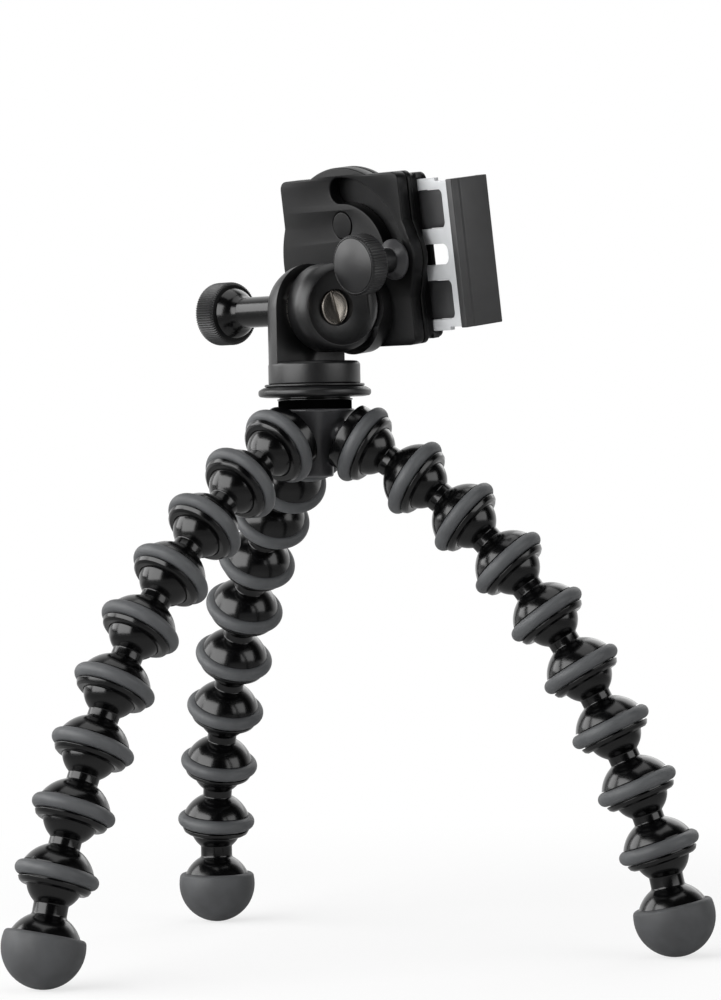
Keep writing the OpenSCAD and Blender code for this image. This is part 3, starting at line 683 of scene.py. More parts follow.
def root_outline():
    """The thin end of an arm, which flares out to meet the back of its cup."""
    points = [(0, -ARM_TAIL), (TAIL_R, -ARM_TAIL)]
    points += arc(TAIL_R + ROOT_BEND, -ARM_EDGE - ROOT_BEND, ROOT_BEND, math.pi, math.pi / 2)
    edge, front = ARM_R - ROOT_STEP, -ARM_EDGE + ROOT_OVERLAP
    return points + [(edge, -ARM_EDGE), (edge, front), (0, front)]


def neck_outline():
    points = [(0, CORE_TOP + NECK_LOW)]
    points += [(CORE_R - inset, CORE_TOP + rise, soft) for inset, rise, soft in NECK_RIM]
    return softened(points + [(CORE_R - NECK_STEP_IN, CORE_TOP + NECK_H), (0, CORE_TOP + NECK_H)])


def hub_cup_outline():
    """The cup at the end of an arm, from its flat back to its seat."""
    low = -RING_BACK - GROOVE_HALF
    points = softened([(0, -ARM_EDGE), (ARM_R, -ARM_EDGE, ARM_SOFT), (ARM_R, low, SOFT), (GROOVE_R, low)])
    mouth = cup_outline(0, low - CUP_START)
    start = next(k for k, p in enumerate(mouth) if p[0] <= GROOVE_R + 1e-6 and p[1] > 0)
    return points + mouth[start:]


def build_hub():
    roots = [revolve("hub_core", core_outline(), UPRIGHT)]
    for leg in LEGS:
        roots.append(revolve(f"hub_root_{leg}", root_outline(), arm_frame(leg)))
    core = blended("hub_core", roots, SKIN_GRAIN, SKIN_PASSES)
    # Painted light: the core is black plastic, shown in the lighter grey so that its funnel looks lit
    dress(core, COLLAR_GREY_AND_LIT_CORE, "hub", "black_plastic", "hub_body")
    # The recess piece carries painted shade: a gloss-free black sheet where the crevice under the wheel lies
    # in shadow
    low, high = CORE_TOP - RECESS_LOW, CORE_TOP + RECESS_HIGH
    recess = revolve("hub_recess", [(0, low), (RECESS_R, low), (RECESS_R, high), (0, high)], UPRIGHT)
    dress(recess, PAINTED_SHADE_BLACK, "hub", "black_plastic", "hub_body")
    dress(revolve("hub_neck", neck_outline(), UPRIGHT), GLOSS_BLACK, "hub", "black_plastic", "hub_body")
    for leg in LEGS:
        cup = revolve(f"hub_cup_{leg}", hub_cup_outline(), arm_frame(leg))
        dress(cup, GLOSS_BLACK, "hub", "leg_plastic", "hub_body")
        ring = revolve(f"hub_ring_{leg}", ring_outline(0), arm_frame(leg), closed=True)
        dress(ring, RUBBER, "hub", "grey_rubber", "hub_rings")


def build_lock_wheel():
    z = CORE_TOP + NECK_H + SEAM
    outline = softened([(0, z)] + [(r, z + rise, soft) for r, rise, soft in WHEEL_EDGE] + [(0, z + WHEEL_H)])
    wheel = revolve("lock_wheel_disc", outline, UPRIGHT, turns=WHEEL_TURNS)
    dress(wheel, SATIN_BLACK, "lock_wheel", "knob_plastic", "lock_wheel")
    z += WHEEL_H
    top = z + PAD_H
    outline = softened([(0, z), (PAD_R, z, PAD_SOFT[0]), (PAD_R, top, PAD_SOFT[1]), (0, top)])
    pad = revolve("platform_disc", outline, UPRIGHT)
    dress(pad, SATIN_BLACK, "lock_wheel", "grey_rubber", "platform_pad")
    dress_cad("tripod_screw", STEEL)


def dress_cad(node, material):
    """Gives a CAD node that is shown as it is its material."""
    paint(frame["nodes"][node], material)


# Head: round base and upright ear
BASE_R = 13.75
BASE_H = 6.7
BASE_SOFT = (0.35, 1.3)
HEAD_TURNS = 128
EAR_R = 13.6
EAR_FACE = 1.3
EAR_LOW = 1.2
EAR_SOFT = 1.1
EAR_SEGMENTS = 6
# Far beyond any piece of the head, for cutters
FAR = 30
# Drum, from the tilt axis: its slanted end is hollowed by the dish
DRUM_R = 13.2
DRUM_X = 0.5
DRUM_LEN = 13.8
DRUM_SLANT = math.radians(17.5)
DRUM_EDGE = 5.0
DRUM_TURNS = 144
DRUM_END_TURNS = 192
DRUM_SHARP = 28
DRUM_BACK = -45
END_FIT = 0.02
EDGE_STOP = 0.06
DISH_R = 20.4
DISH_DEEP = 4.2
DISH_RIM = 11.3
DISH_SOFT = 0.16
DISH_STOP = 0.4
# Flange between the drum and the cover, cut free in front of the drum's slanted end
FLANGE_R = 13.4
FLANGE_LOW = 9
FLANGE_X = 6.0
FLANGE_DROP = 1.7
FLANGE_FREE = 0.6
FLANGE_FREE_Z = (-1.5, 20)
COVER_Y = 14.0
# Slotted bolt and its bores
BOLT_R = 2.95
BOLT_SHANK = 2.9
BOLT_END = -40.2
BOLT_SEAT = 9.2
BOLT_FACE = 10.0
BOLT_HEAD = 5.15
BOLT_HOLLOW = 0.12
BOLT_RECESS = 5.5
BOLT_BORE_END = 40
BOLT_SLOT_DEEP = 0.45
BOLT_SLOT_HALF = 0.55
BOLT_SOFT = 0.08
BOLT_TURN = math.radians(12)


def box_piece(name, low, high, place):
    """A plain block between two corners in millimetres, used as a cutter."""
    bm = bmesh.new()
    bmesh.ops.create_cube(bm, size=1)
    for v in bm.verts:
        v.co = Vector([(low[k] + high[k]) / 2 + v.co[k] * (high[k] - low[k]) for k in range(3)]) * MM
    bmesh.ops.transform(bm, matrix=place, verts=bm.verts)
    return finish_mesh(bm, name)


def build_head():
    base_z = pivot("head_pan").z / MM
    top = base_z + BASE_H
    tilt_z = TILT.z / MM
    outline = softened([(0, base_z), (BASE_R, base_z, BASE_SOFT[0]), (BASE_R, top, BASE_SOFT[1]), (0, top)])
    base = revolve("head_base_disc", outline, UPRIGHT, turns=HEAD_TURNS)
    dress(base, SATIN_BLACK, "head", "black_plastic", "head_base")
    outline = [(0, base_z + EAR_LOW), (EAR_R, base_z + EAR_LOW)] + arc(0, tilt_z, EAR_R, 0, math.pi / 2)
    ear = revolve("head_ear", outline, UPRIGHT, turns=HEAD_TURNS)
    carve(ear, box_piece("ear_face", (-EAR_FACE, -20, base_z - 5), (FAR, 20, tilt_z + FAR), UPRIGHT))
    round_edges(ear, EAR_SOFT, segments=EAR_SEGMENTS)
    bore = [(0, -FAR), (BOLT_R, -FAR), (BOLT_R, FAR), (0, FAR)]
    carve(ear, revolve("ear_bore", bore, ALONG_X))
    dress(ear, SATIN_BLACK, "head", "black_plastic", "head_base")
    dress_cad("thread_insert", BRASS)
    dress_cad("tilt_washer", STEEL)


# Tilt knob, along the tilt axis: its grip's outer end and rim, its bell-shaped stem and where that ends
GRIP_END = -44.2
GRIP_RIM = -35.9
GRIP_R = 9.6
GRIP_DISH = 0.4
GRIP_DISH_R = (GRIP_R - 5, GRIP_R - 4.4)
GRIP_DISH_SOFT = 0.8
GRIP_SOFT = (1.9, 1.2)
GRIP_TURNS = 624
# Ribs: how many, how deep, and the radius beyond which they run
GRIP_RIBS = (78, 0.34, GRIP_R - 0.9)
GROOVE_FLOOR = 7.0
GROOVE_W = 0.4
BELL_R = 8.35
BELL_RIM = 7.7
STEM_R = 4.65
STEM_END = -13.9
STEM_STEP = 0.3


def build_tilt_knob():
    rim = GRIP_RIM
    outline = softened([
        (0, GRIP_END + GRIP_DISH),
        (GRIP_DISH_R[0], GRIP_END + GRIP_DISH, GRIP_DISH_SOFT),
        (GRIP_DISH_R[1], GRIP_END, GRIP_DISH_SOFT),
        (GRIP_R, GRIP_END, GRIP_SOFT[0]),
        (GRIP_R, rim, GRIP_SOFT[1]),
        (GROOVE_FLOOR, rim, 0.1),
        (GROOVE_FLOOR, rim + 0.1),
        (0, rim + 0.1),
    ])
    grip = revolve("tilt_knob_grip", outline, ALONG_X, turns=GRIP_TURNS, ribs=GRIP_RIBS)
    dress(grip, GRIP_BLACK, "tilt_knob", "knob_plastic", "tilt_knob")
    bell_low = rim + GROOVE_W
    bell_z = bell_low - math.sqrt(BELL_R ** 2 - BELL_RIM ** 2)
    bell_top = bell_z + math.sqrt(BELL_R ** 2 - (STEM_R + STEM_STEP) ** 2)
    outline = softened([
        (0, rim - 0.5),
        (GROOVE_FLOOR, rim - 0.5),
        (GROOVE_FLOOR, bell_low, 0.1),
        (BELL_RIM, bell_low, 0.15),
        sphere_arc(bell_z, BELL_R, rim + 0.6, rim + 0.7)[0],
    ])
    outline += sphere_arc(bell_z, BELL_R, rim + 0.65, bell_top)
    join = bell_z + math.sqrt(BELL_R ** 2 - STEM_R ** 2)
    outline += softened([(STEM_R, join, 0.2), (STEM_R, STEM_END), (0, STEM_END)])
    stem = revolve("tilt_knob_stem", outline, ALONG_X, turns=DRUM_TURNS)
    dress(stem, GLOSS_BLACK, "tilt_knob", "knob_plastic", "tilt_knob")
    dress_cad("tilt_knob_insert", BRASS)


def drum_end_outline():
    """What the drum's slanted end keeps: a round edge, a soft rim and the hollow of the dish."""
    end_r = DRUM_R / math.cos(DRUM_SLANT) + END_FIT
    rim_r = DISH_RIM - end_r + DRUM_EDGE
    rim_z = math.sqrt(DRUM_EDGE ** 2 - rim_r ** 2) - DRUM_EDGE
    edge_turn = math.acos(rim_r / DRUM_EDGE) - EDGE_STOP
    points = [(0, DRUM_BACK), (end_r, DRUM_BACK)]
    points += arc(end_r - DRUM_EDGE, -DRUM_EDGE, DRUM_EDGE, 0, edge_turn)
    dish_turn = math.asin((DISH_RIM - DISH_STOP) / DISH_R) - math.pi / 2
    dish = arc(0, DISH_R - DISH_DEEP, DISH_R, dish_turn, -math.pi / 2)
    dish[-1] = (0, -DISH_DEEP)
    return softened(points + [(DISH_RIM, rim_z, DISH_SOFT)] + dish)


def build_tilt_block():
    outline = softened([(0, -DRUM_X), (DRUM_R, -DRUM_X, DRUM_EDGE), (DRUM_R, FAR), (0, FAR)])
    drum = revolve("tilt_drum", outline, CLAMP_ALONG_X, turns=DRUM_TURNS)
    slant = CLAMP @ Matrix.Translation((DRUM_LEN * MM, 0, 0)) @ Matrix.Rotation(-DRUM_SLANT, 4, "Z") @ TURN_X
    carve(drum, revolve("drum_end", drum_end_outline(), slant, turns=DRUM_END_TURNS), "INTERSECT")
    outline = [(0, FLANGE_LOW), (FLANGE_R, FLANGE_LOW), (FLANGE_R, COVER_Y), (0, COVER_Y)]
    place = ALONG_Y @ Matrix.Translation((FLANGE_X * MM, FLANGE_DROP * MM, 0))
    flange = revolve("tilt_flange", outline, place, turns=HEAD_TURNS)
    carve(flange, box_piece("flange_cut", (-FAR, 0, -FAR), (-DRUM_X, FAR, FAR), CLAMP))
    front_r, (low, high) = DISH_RIM + FLANGE_FREE, FLANGE_FREE_Z
    front = [(0, low), (front_r, low), (front_r, high), (0, high)]
    carve(flange, revolve("flange_front", front, slant, turns=DRUM_TURNS))
    carve(drum, flange, "UNION")
    bore = [(0, BOLT_SEAT), (BOLT_RECESS, BOLT_SEAT), (BOLT_RECESS, BOLT_BORE_END), (0, BOLT_BORE_END)]
    carve(drum, revolve("drum_bore", bore, CLAMP_ALONG_X))
    smooth(drum.data, DRUM_SHARP)
    dress(drum, SATIN_BLACK, "tilt", "black_plastic", "tilt_block")
    build_bolt()


def build_bolt():
    """The slotted bolt, with a thin raised edge round its face."""
    outline = softened([
        (0, BOLT_END),
        (BOLT_SHANK, BOLT_END, 0.3),
        (BOLT_SHANK, BOLT_SEAT, 0.1),
        (BOLT_HEAD, BOLT_SEAT, 0.1),
        (BOLT_HEAD, BOLT_FACE, 0.2),
        (BOLT_HEAD - 0.5, BOLT_FACE, 0.1),
        (BOLT_HEAD - 0.7, BOLT_FACE - BOLT_HOLLOW, 0.1),
        (0, BOLT_FACE - BOLT_HOLLOW),
    ])
    bolt = revolve("tilt_bolt_turned", outline, CLAMP_ALONG_X)
    low = (BOLT_FACE - BOLT_SLOT_DEEP, -BOLT_SLOT_HALF, -6)
    high = (BOLT_FACE + 2, BOLT_SLOT_HALF, 6)
    carve(bolt, box_piece("bolt_slot", low, high, CLAMP @ Matrix.Rotation(BOLT_TURN, 4, "X")))
    round_edges(bolt, BOLT_SOFT, 50, 2)
    dress(bolt, DARK_STEEL, "tilt", "steel", "tilt_bolt")


# Clamp, in its own leaning frame: x along the tilt axis, heights z, depths along y
BODY_W = 26.2
BODY_H = 25.8
BULGE_R = 28.6
LOBE = (SWIVEL.x + 17, SWIVEL.z + 0.7, 12.4)
SLOT_W = 7.8
COVER_T = 4.0
SLOT_R = LOCK.x - SWIVEL.x
CORNER = 2.5
SIDES = ((-1, "low"), (1, "high"))
CAP_RISE = 11.2
CAP_R = 4.0
CAP_HOLE_R = 4.12
CAP_IN = 0.15
CAP_H = 1.5
COVER_SOFT = 0.45
BOSS_R = 6
BOSS_LOW = 2
BOSS_H = 2.8


def along_y_at(x, z):
    """The frame for a piece turned about a line along the clamp's +Y through (x, z)."""
    return ALONG_Y @ Matrix.Translation((x * MM, -z * MM, 0))


def drawn(loops):
    """Outlines drawn as (x, z) in the clamp's frame, as a plate along the clamp's +Y sees them."""
    return [[(x, -z) for x, z in loop] for loop in loops]


def circle(cx, cy, r, steps=64):
    angles = [math.tau * k / steps for k in range(steps)]
    return [(cx + r * math.cos(a), cy + r * math.sin(a)) for a in angles]


def inside(point, inset):
    """How far a point lies inside the cover's outline, a rounded square, a bulge and a lobe."""
    x, z = point[0] - SWIVEL.x, point[1] - SWIVEL.z
    qx, qz = abs(x) - (BODY_W - inset - CORNER), abs(z) - (BODY_H - inset - CORNER)
    square = CORNER - math.hypot(max(qx, 0), max(qz, 0)) - min(max(qx, qz), 0)
    bulge = min(BULGE_R - inset - math.hypot(x, z), z + BODY_H - inset)
    lobe = LOBE[2] - inset - math.hypot(point[0] - LOBE[0], point[1] - LOBE[1])
    return max(square, bulge, lobe)


def cover_outline(inset=0.0, steps=360):
    """The cover's outline, found along rays from the swivel axis."""
    points = []
    for k in range(steps):
        angle = math.tau * (k + 0.5) / steps
        low, high = 10.0, 50.0
        for _ in range(30):
            middle = (low + high) / 2
            at = (SWIVEL.x + middle * math.cos(angle), SWIVEL.z + middle * math.sin(angle))
            low, high = (middle, high) if inside(at, inset) > 0 else (low, middle)
        points.append((SWIVEL.x + low * math.cos(angle), SWIVEL.z + low * math.sin(angle)))
    return points


def slot_outline(width):
    """The quarter-round slot about the swivel axis, with round ends."""
    cx, cz = SWIVEL.x, SWIVEL.z
    half = width / 2
    points = arc(cx, cz, SLOT_R + half, 0, math.pi / 2)
    points += arc(cx, cz + SLOT_R, half, math.pi / 2, 1.5 * math.pi)[1:]
    points += arc(cx, cz, SLOT_R - half, math.pi / 2, 0)[1:]
    points += arc(cx + SLOT_R, cz, half, math.pi, math.tau)[1:-1]
    return points


def build_cover():
    cap_x, cap_z = SWIVEL.x, SWIVEL.z + CAP_RISE
    loops = [cover_outline(), slot_outline(SLOT_W), circle(cap_x, cap_z, CAP_HOLE_R)]
    # The cover takes the shaded copy of the satin black, as painted shade on the back plate
    cover = plate("cover_shell", drawn(loops), COVER_Y, COVER_Y + COVER_T, ALONG_Y, COVER_SOFT)
    dress(cover, SHADED_PLATE_BLACK, "tilt", "black_plastic", "back_cover")
    face = COVER_Y - CAP_IN
    outline = softened([(0, face), (CAP_R, face, 0.3), (CAP_R, COVER_Y + CAP_H), (0, COVER_Y + CAP_H)])
    plug = revolve("cover_plug", outline, along_y_at(cap_x, cap_z))
    dress(plug, SHADED_PLATE_BLACK, "tilt", "knob_plastic", "cover_cap")
    low, high = COVER_Y + BOSS_LOW, COVER_Y + COVER_T + BOSS_H
    outline = [(0, low), (BOSS_R, low), (BOSS_R, high), (0, high)]
    boss = revolve("pivot_boss", outline, along_y_at(SWIVEL.x, SWIVEL.z))
    dress(boss, SATIN_BLACK, "tilt", "black_plastic", "back_cover")
    dress_cad("pivot_screw", STEEL)
    dress_cad("pivot_washer", STEEL)


# Depths of the housing: its flange, the channel's floor, and the back and front of its front cover
FLANGE_Y = (18.3, 20.0)
SHELL_Y = 19.9
CHANNEL_Y = 22.95
FRONT_Y = 25.2
BODY_FRONT = 27.0
RIM_STEP = 1
LOCK_HOLE_R = 2.1
CHANNEL_HALF = 22.9
RAIL_SOFT = 0.4
LAP = 0.1
POST_X = 22.2
POST_R = 2.4
SCREW_HOLE_R = 1.95
TONGUE_HOLE_R = 1.05
TONGUE_SCREW_X = -21.6
TONGUE_SCREW_Z = 17
FRONT_PAD_X = 13.5
FRONT_PAD_HALF = (8.5, 18)
FRONT_PAD_H = 0.8


def tongue_holes(r):
    """The two screws' holes through the fixed jaw's tongue and the cover in front of it."""
    return [circle(TONGUE_SCREW_X, SWIVEL.z + side * TONGUE_SCREW_Z, r) for side, _ in SIDES]


def build_housing():
    lock_hole = circle(LOCK.x, LOCK.z, LOCK_HOLE_R)
    flange = plate("housing_flange", drawn([cover_outline(), lock_hole]), *FLANGE_Y, ALONG_Y, 0.3)
    dress(flange, SHADED_PLATE_BLACK, "clamp", "black_plastic", "clamp_housing")
    half_w, half_h = BODY_W - RIM_STEP, BODY_H - RIM_STEP
    outline = round_rect(SWIVEL.x, SWIVEL.z, half_w, half_h, CORNER)
    body = plate("housing_shell", drawn([outline]), SHELL_Y, CHANNEL_Y, ALONG_Y, 0.2)
    dress(body, SHADED_PLATE_BLACK, "clamp", "black_plastic", "clamp_housing")
    for side, word in SIDES:
        mid = SWIVEL.z + side * (CHANNEL_HALF + BODY_H - RIM_STEP) / 2
        rail = round_rect(SWIVEL.x, mid, half_w - 0.2, (half_h - CHANNEL_HALF) / 2, RAIL_SOFT)
        piece = plate(f"housing_rail_{word}", drawn([rail]), CHANNEL_Y - LAP, FRONT_Y - SEAM, ALONG_Y, 0.1)
        dress(piece, SATIN_BLACK, "clamp", "black_plastic", "clamp_housing")
    post = [(0, CHANNEL_Y - LAP), (POST_R, CHANNEL_Y - LAP), (POST_R, FRONT_Y), (0, FRONT_Y)]
    piece = revolve("housing_post", post, along_y_at(POST_X, SWIVEL.z))
    dress(piece, SATIN_BLACK, "clamp", "black_plastic", "clamp_housing")
    holes = tongue_holes(SCREW_HOLE_R) + [circle(POST_X, SWIVEL.z, SCREW_HOLE_R)]
    front = plate("housing_cover", drawn([outline] + holes), FRONT_Y, BODY_FRONT, ALONG_Y, 0.35)
    dress(front, SHADED_PLATE_BLACK, "clamp", "black_plastic", "housing_front")
    dress_cad("front_screws", STEEL)
    for side, word in ((-1, "left"), (1, "right")):
        pad = round_rect(SWIVEL.x + side * FRONT_PAD_X, SWIVEL.z, *FRONT_PAD_HALF, CORNER)
        high = BODY_FRONT + FRONT_PAD_H
        piece = plate(f"front_pad_{word}", drawn([pad]), BODY_FRONT, high, ALONG_Y, 0.25)
        dress(piece, RUBBER, "clamp", "grey_rubber", "front_pads")


JAW_H = 44.0
JAW_BACK = 21.3
JAW_FRONT = 34.9
JAW_T = 3.0
JAW_PAD = 1.1
JAW_CLEAR = 3.1
PHONE_W = 67.0
FIXED = SWIVEL.x - BODY_W - JAW_CLEAR - JAW_PAD
MOVING = FIXED + 2 * JAW_PAD + PHONE_W
JAW_LIP = 1
JAW_LIP_REACH = 0.6
JAW_CREASE = 0.5
JAW_CREASE_LOW = 2.6
JAW_CREASE_HIGH = 3.2
PAD_START = 25.55


def build_jaw(name, face, out, body, node, pad_node):
    """A jaw drawn as its section in x and y, thickened along the clamp's height."""
    outer = face + out * JAW_T
    tip = face - out * (JAW_PAD + JAW_LIP_REACH)
    crease = outer - out * JAW_CREASE
    section = softened([
        (face, JAW_BACK, 0.3),
        (crease, JAW_BACK, 0.5),
        (crease, JAW_BACK + JAW_CREASE_LOW, 0.4),
        (outer, JAW_BACK + JAW_CREASE_HIGH, 0.5),
        (outer, JAW_FRONT + JAW_LIP, 0.7),
        (tip, JAW_FRONT + JAW_LIP, 0.4),
        (tip, JAW_FRONT, 0.3),
        (face, JAW_FRONT, 0.2),
    ])
    low, high = SWIVEL.z - JAW_H / 2, SWIVEL.z + JAW_H / 2
    jaw = plate(f"{name}_shell", [section], low, high, CLAMP, 0.3)
    dress(jaw, JAW_BLACK, body, "black_plastic", node)
    pad_x, pad_y = face - out * JAW_PAD / 2, (PAD_START + JAW_FRONT) / 2
    pad = round_rect(pad_x, pad_y, JAW_PAD / 2, (JAW_FRONT - PAD_START) / 2, 0.3)
    piece = plate(f"{name}_rubber", [pad], low + 1, high - 1, CLAMP, 0.25)
    dress(piece, RUBBER, body, "grey_rubber", pad_node)


# Slide and the fixed jaw's tongue, which share one channel
SLIDE_Y = (23.1, 25.0)
SLIDE_HALF = 22.7
SLIDE_LEN = 48.5
SLIDE_NECK = 6.5
SLIDE_STEP = 1
SLOT_GAP = 4.1
SLOT_START = 3
SLOT_HALF = 3.1
SLOT_CORNER = 2.2
WINDOW_LEN = 28.3
WINDOW_HALF = 5.8
WINDOW_Z = 13.5
WINDOW_CORNER = 1.8
INSERT_Y = (23.3, 24.95)
INSERT_IN = (0.12, 0.16)
INSERT_CORNER = 1.7
TONGUE_END = 19.5


def build_slider():
    left, right = MOVING - SLIDE_LEN, MOVING
    neck = right - SLIDE_NECK
    slot_left, slot_right = left + SLOT_START, right - SLOT_GAP
    top, low = SWIVEL.z + SLIDE_HALF, SWIVEL.z - SLIDE_HALF
    frame_loop = softened([
        (left, low, 0.5),
        (neck, low, 0.2),
        (neck, low + SLIDE_STEP, 0.3),
        (right, low + SLIDE_STEP, 0.2),
        (right, top - SLIDE_STEP, 0.2),
        (neck, top - SLIDE_STEP, 0.3),
        (neck, top, 0.2),
        (left, top, 0.5),
    ])
    window_x, half = slot_right - WINDOW_LEN / 2, WINDOW_LEN / 2
    heights = [(SWIVEL.z + side * WINDOW_Z, word) for side, word in SIDES]
    loops = [frame_loop] + [round_rect(window_x, z, half, WINDOW_HALF, WINDOW_CORNER) for z, _ in heights]
    slot_x, slot_half = (slot_left + slot_right) / 2, (slot_right - slot_left) / 2
    loops.append(round_rect(slot_x, SWIVEL.z, slot_half, SLOT_HALF, SLOT_CORNER))
    slide = plate("slider_plate", drawn(loops), *SLIDE_Y, ALONG_Y, 0.25)
    dress(slide, PALE, "slider", "pale_plastic", "slider_frame")
    for z, word in heights:
        pad = round_rect(window_x, z, half - INSERT_IN[0], WINDOW_HALF - INSERT_IN[1], INSERT_CORNER)
        piece = plate(f"slider_window_{word}", drawn([pad]), *INSERT_Y, ALONG_Y, 0.3)
        dress(piece, INSERT, "slider", "window_insert", "slider_pads")


def build_fixed_tongue():
    mid, half = (FIXED - 1 - TONGUE_END) / 2, (FIXED + 0.5 + TONGUE_END) / -2
    tongue = round_rect(mid, SWIVEL.z, half, SLIDE_HALF, 0.5)
    piece = plate("fixed_jaw_tongue", drawn([tongue] + tongue_holes(TONGUE_HOLE_R)), *SLIDE_Y, ALONG_Y, 0.2)
    dress(piece, SATIN_BLACK, "clamp", "black_plastic", "fixed_jaw")


# Lock knob, along the clamp's +Y: its dome, its rim and its neck, which ends at the collar
LOCK_R = 9.0
LOCK_FACE = -3.3
LOCK_RIM = 2.8
LOCK_NECK_R = 3.7
LOCK_NECK_END = 10.95
LOCK_TURNS = 480
LOCK_RIBS = (60, 0.16, LOCK_R - 0.35)
DOME_R = 27.8
DOME_EDGE = 8.0
DOME_H = 1.3
# The collar's section: radius, depth, and rounding where there is one
COLLAR = ((2.1, 11), (3.9, 11, 0.2), (6.1, 12.9, 0.25), (6.1, 13.7, 0.2), (2.1, 13.7))


def build_lock_knob():
    place = along_y_at(LOCK.x, LOCK.z)
    dome_z = LOCK_FACE - DOME_H + DOME_R
    outline = arc(0, dome_z, DOME_R, -math.pi / 2, math.asin(DOME_EDGE / DOME_R) - math.pi / 2)
    outline[0] = (0, LOCK_FACE - DOME_H)
    edge_z = outline[-1][1]
    outline += softened([
        (DOME_EDGE, edge_z),
        (DOME_EDGE + 0.1, edge_z + 0.3, 0.05),
        (DOME_EDGE + 0.3, edge_z + 0.05, 0.1),
        (LOCK_R, LOCK_FACE + 0.5, 0.6),
        (LOCK_R, LOCK_RIM, 0.8),
        (LOCK_NECK_R + 1.8, LOCK_RIM, 0.3),
        (LOCK_NECK_R, LOCK_RIM + 0.6, 1.0),
        (LOCK_NECK_R, LOCK_NECK_END, 0.1),
        (0, LOCK_NECK_END),
    ])[1:]
    knob = revolve("lock_knob_grip", outline, place, turns=LOCK_TURNS, ribs=LOCK_RIBS)
    dress(knob, KNOB_BLACK, "lock_knob", "knob_plastic", "lock_knob")
    collar = revolve("lock_washer", softened(COLLAR), place, closed=True)
    dress(collar, COLLAR_GREY_AND_LIT_CORE, "clamp", "knob_plastic", "lock_collar")
    dress_cad("lock_stud", STEEL)


# Stage: camera at the photograph's place, pale floor, soft light
CAMERA_AT = Vector((0.9354, -0.83635, 0.14901))
CAMERA_RIGHT = Vector((0.67423, 0.73822, -0.02105))
CAMERA_UP = Vector((0.00617, 0.02287, 0.99972))
CAMERA_LENS = 151.17
SENSOR = 36.0
# Heading on the floor from the camera past the object: what lies there is seen white in gloss
BEHIND = (-0.7387, 0.6741)
# How bright gloss sees the near half of the world and the floor, and how bright the world lights
NEAR_SIDE = 0.015
NEAR_FLOOR = 0.34
SKY = 0.12
FLOOR_TONE = 0.86
FLOOR_R = 30
# From and to, in metres: how the floor turns white away from the feet, and in gloss beyond the object
FLOOR_FADE = (0.13, 0.45)
FLOOR_NEAR_SHARE = 0.72
GLOSS_FADE = (0.1, 0.8)
WORLD_FADE = (0.2, 0.75)
LAMP_TARGET = (0, 0, 0.13)
# Each softbox: name, heading, distance, height, size, and how bright it looks in gloss
SOFTBOXES = (
    ("left_softbox", (-0.125, -0.988), 1.1, 0.5, (0.9, 1.25), 5.2),
    ("side_softbox", (-0.844, -0.54), 1.15, 0.6, (0.75, 0.7), 4.2),
    ("right_softbox", (0.976, 0.239), 1.1, 0.45, (0.6, 1.0), 2.6),
    ("back_softbox", (-0.35, 0.937), 1.2, 0.85, (1.0, 0.8), 1.4),
    ("top_softbox", (0.0, 0.05), 1.0, 1.25, (0.9, 0.9), 1.5),
)


def build_camera():
    data = bpy.data.cameras.new("photo_camera")
    data.lens = CAMERA_LENS
    data.sensor_width = SENSOR
    data.sensor_fit = "AUTO"
    camera = new_object("photo_camera", data)
    back = CAMERA_RIGHT.cross(CAMERA_UP)
    camera.matrix_world = Matrix((CAMERA_RIGHT, CAMERA_UP, back)).transposed().to_4x4()
    camera.matrix_world.translation = CAMERA_AT
    bpy.context.scene.camera = camera


def area_light(name, at, size, power):
    data = bpy.data.lights.new(name, "AREA")
    data.shape = "RECTANGLE"
    data.size, data.size_y = size
    data.energy = power
    lamp = new_object(name, data)
    lamp.matrix_world = axis_frame(at, at - Vector(LAMP_TARGET))


def math_node(tree, operation, first, second, clamp=False):
    node = tree.nodes.new("ShaderNodeMath")
    node.operation = operation
    node.use_clamp = clamp
    for socket, value in zip(node.inputs, (first, second)):
        if isinstance(value, (int, float)):
            socket.default_value = value
        else:
            tree.links.new(value, socket)
    return node.outputs[0]


def map_range(tree, value, low, high, to_low, to_high):
    node = tree.nodes.new("ShaderNodeMapRange")
    node.interpolation_type = "SMOOTHSTEP"
    tree.links.new(value, node.inputs["Value"])
    for name, number in (("From Min", low), ("From Max", high), ("To Min", to_low), ("To Max", to_high)):
        node.inputs[name].default_value = number
    return node.outputs["Result"]


def background_rays(tree):
    """1 for what the camera, gloss and glass see, 0 for what lights the object; and the camera's alone."""
    path = tree.nodes.new("ShaderNodeLightPath")
    camera = path.outputs["Is Camera Ray"]
    seen = math_node(tree, "ADD", camera, path.outputs["Is Glossy Ray"])
    return math_node(tree, "ADD", seen, path.outputs["Is Transmission Ray"], True), camera


def beyond(tree, vector, low, high, near):
    """White for what lies far enough past the object, and a near tone for the rest."""
    reach = tree.nodes.new("ShaderNodeVectorMath")
    reach.operation = "DOT_PRODUCT"
    tree.links.new(vector, reach.inputs[0])
    reach.inputs[1].default_value = (*BEHIND, 0)
    return map_range(tree, reach.outputs["Value"], low, high, near, 1.0)


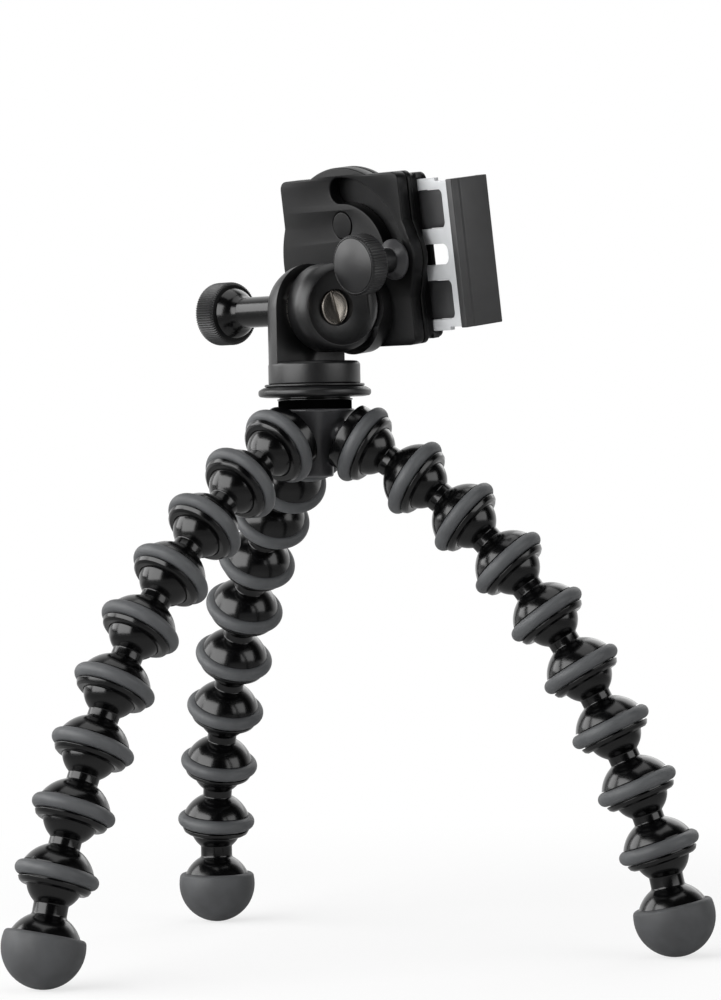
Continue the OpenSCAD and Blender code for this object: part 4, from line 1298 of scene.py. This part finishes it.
def build_floor():
    """A pale floor that takes the object's shadow and fades to the white of the world."""
    material = bpy.data.materials.new("pale_floor")
    material.use_nodes = True
    tree = material.node_tree
    tree.nodes.clear()
    diffuse = tree.nodes.new("ShaderNodeBsdfDiffuse")
    diffuse.inputs["Color"].default_value = (FLOOR_TONE, FLOOR_TONE, FLOOR_TONE, 1)
    white = tree.nodes.new("ShaderNodeEmission")
    place = tree.nodes.new("ShaderNodeNewGeometry")
    reach = tree.nodes.new("ShaderNodeVectorMath")
    reach.operation = "LENGTH"
    tree.links.new(place.outputs["Position"], reach.inputs[0])
    seen, camera = background_rays(tree)
    gloss = beyond(tree, place.outputs["Position"], *GLOSS_FADE, NEAR_FLOOR)
    tree.links.new(math_node(tree, "MAXIMUM", gloss, camera), white.inputs["Strength"])
    share = map_range(tree, reach.outputs["Value"], *FLOOR_FADE, FLOOR_NEAR_SHARE, 1.0)
    part = math_node(tree, "MULTIPLY", seen, share)
    mix = tree.nodes.new("ShaderNodeMixShader")
    tree.links.new(part, mix.inputs["Fac"])
    tree.links.new(diffuse.outputs[0], mix.inputs[1])
    tree.links.new(white.outputs[0], mix.inputs[2])
    out = tree.nodes.new("ShaderNodeOutputMaterial")
    tree.links.new(mix.outputs[0], out.inputs["Surface"])
    bm = bmesh.new()
    bmesh.ops.create_circle(bm, cap_ends=True, segments=64, radius=FLOOR_R)
    floor = finish_mesh(bm, "floor")
    floor.data.materials.append(material)


def build_world():
    """White for the camera; gloss and glass see it white beyond the object and dim on the near side."""
    world = bpy.data.worlds.new("studio")
    bpy.context.scene.world = world
    world.use_nodes = True
    tree = world.node_tree
    tree.nodes.clear()
    seen, camera = background_rays(tree)
    place = tree.nodes.new("ShaderNodeTexCoord")
    tone = beyond(tree, place.outputs["Generated"], *WORLD_FADE, NEAR_SIDE)
    tone = math_node(tree, "MAXIMUM", tone, camera)
    strength = math_node(tree, "MULTIPLY", tone, seen)
    fill = math_node(tree, "MULTIPLY", math_node(tree, "SUBTRACT", 1.0, seen), SKY)
    sky = tree.nodes.new("ShaderNodeBackground")
    sky.inputs["Color"].default_value = (1, 1, 1, 1)
    tree.links.new(math_node(tree, "ADD", strength, fill), sky.inputs["Strength"])
    out = tree.nodes.new("ShaderNodeOutputWorld")
    tree.links.new(sky.outputs[0], out.inputs["Surface"])


def softbox(name, heading, distance, height, size, radiance):
    """A soft lamp that faces the object from a heading, as bright as it should look in gloss."""
    at = Vector((heading[0] * distance, heading[1] * distance, height))
    area_light(name, at, size, radiance * math.pi * size[0] * size[1])


def build_stage():
    build_floor()
    build_world()
    for lamp in SOFTBOXES:
        softbox(*lamp)
    bpy.context.scene.view_settings.view_transform = "Standard"


build_camera()
build_legs()
build_hub()
build_lock_wheel()
build_head()
build_tilt_knob()
build_tilt_block()
build_cover()
build_housing()
build_jaw("moving_jaw", MOVING, 1, "slider", "moving_jaw", "moving_jaw_pad")
build_jaw("fixed_jaw", FIXED, -1, "clamp", "fixed_jaw", "fixed_jaw_pad")
build_fixed_tongue()
build_slider()
build_lock_knob()
build_stage()
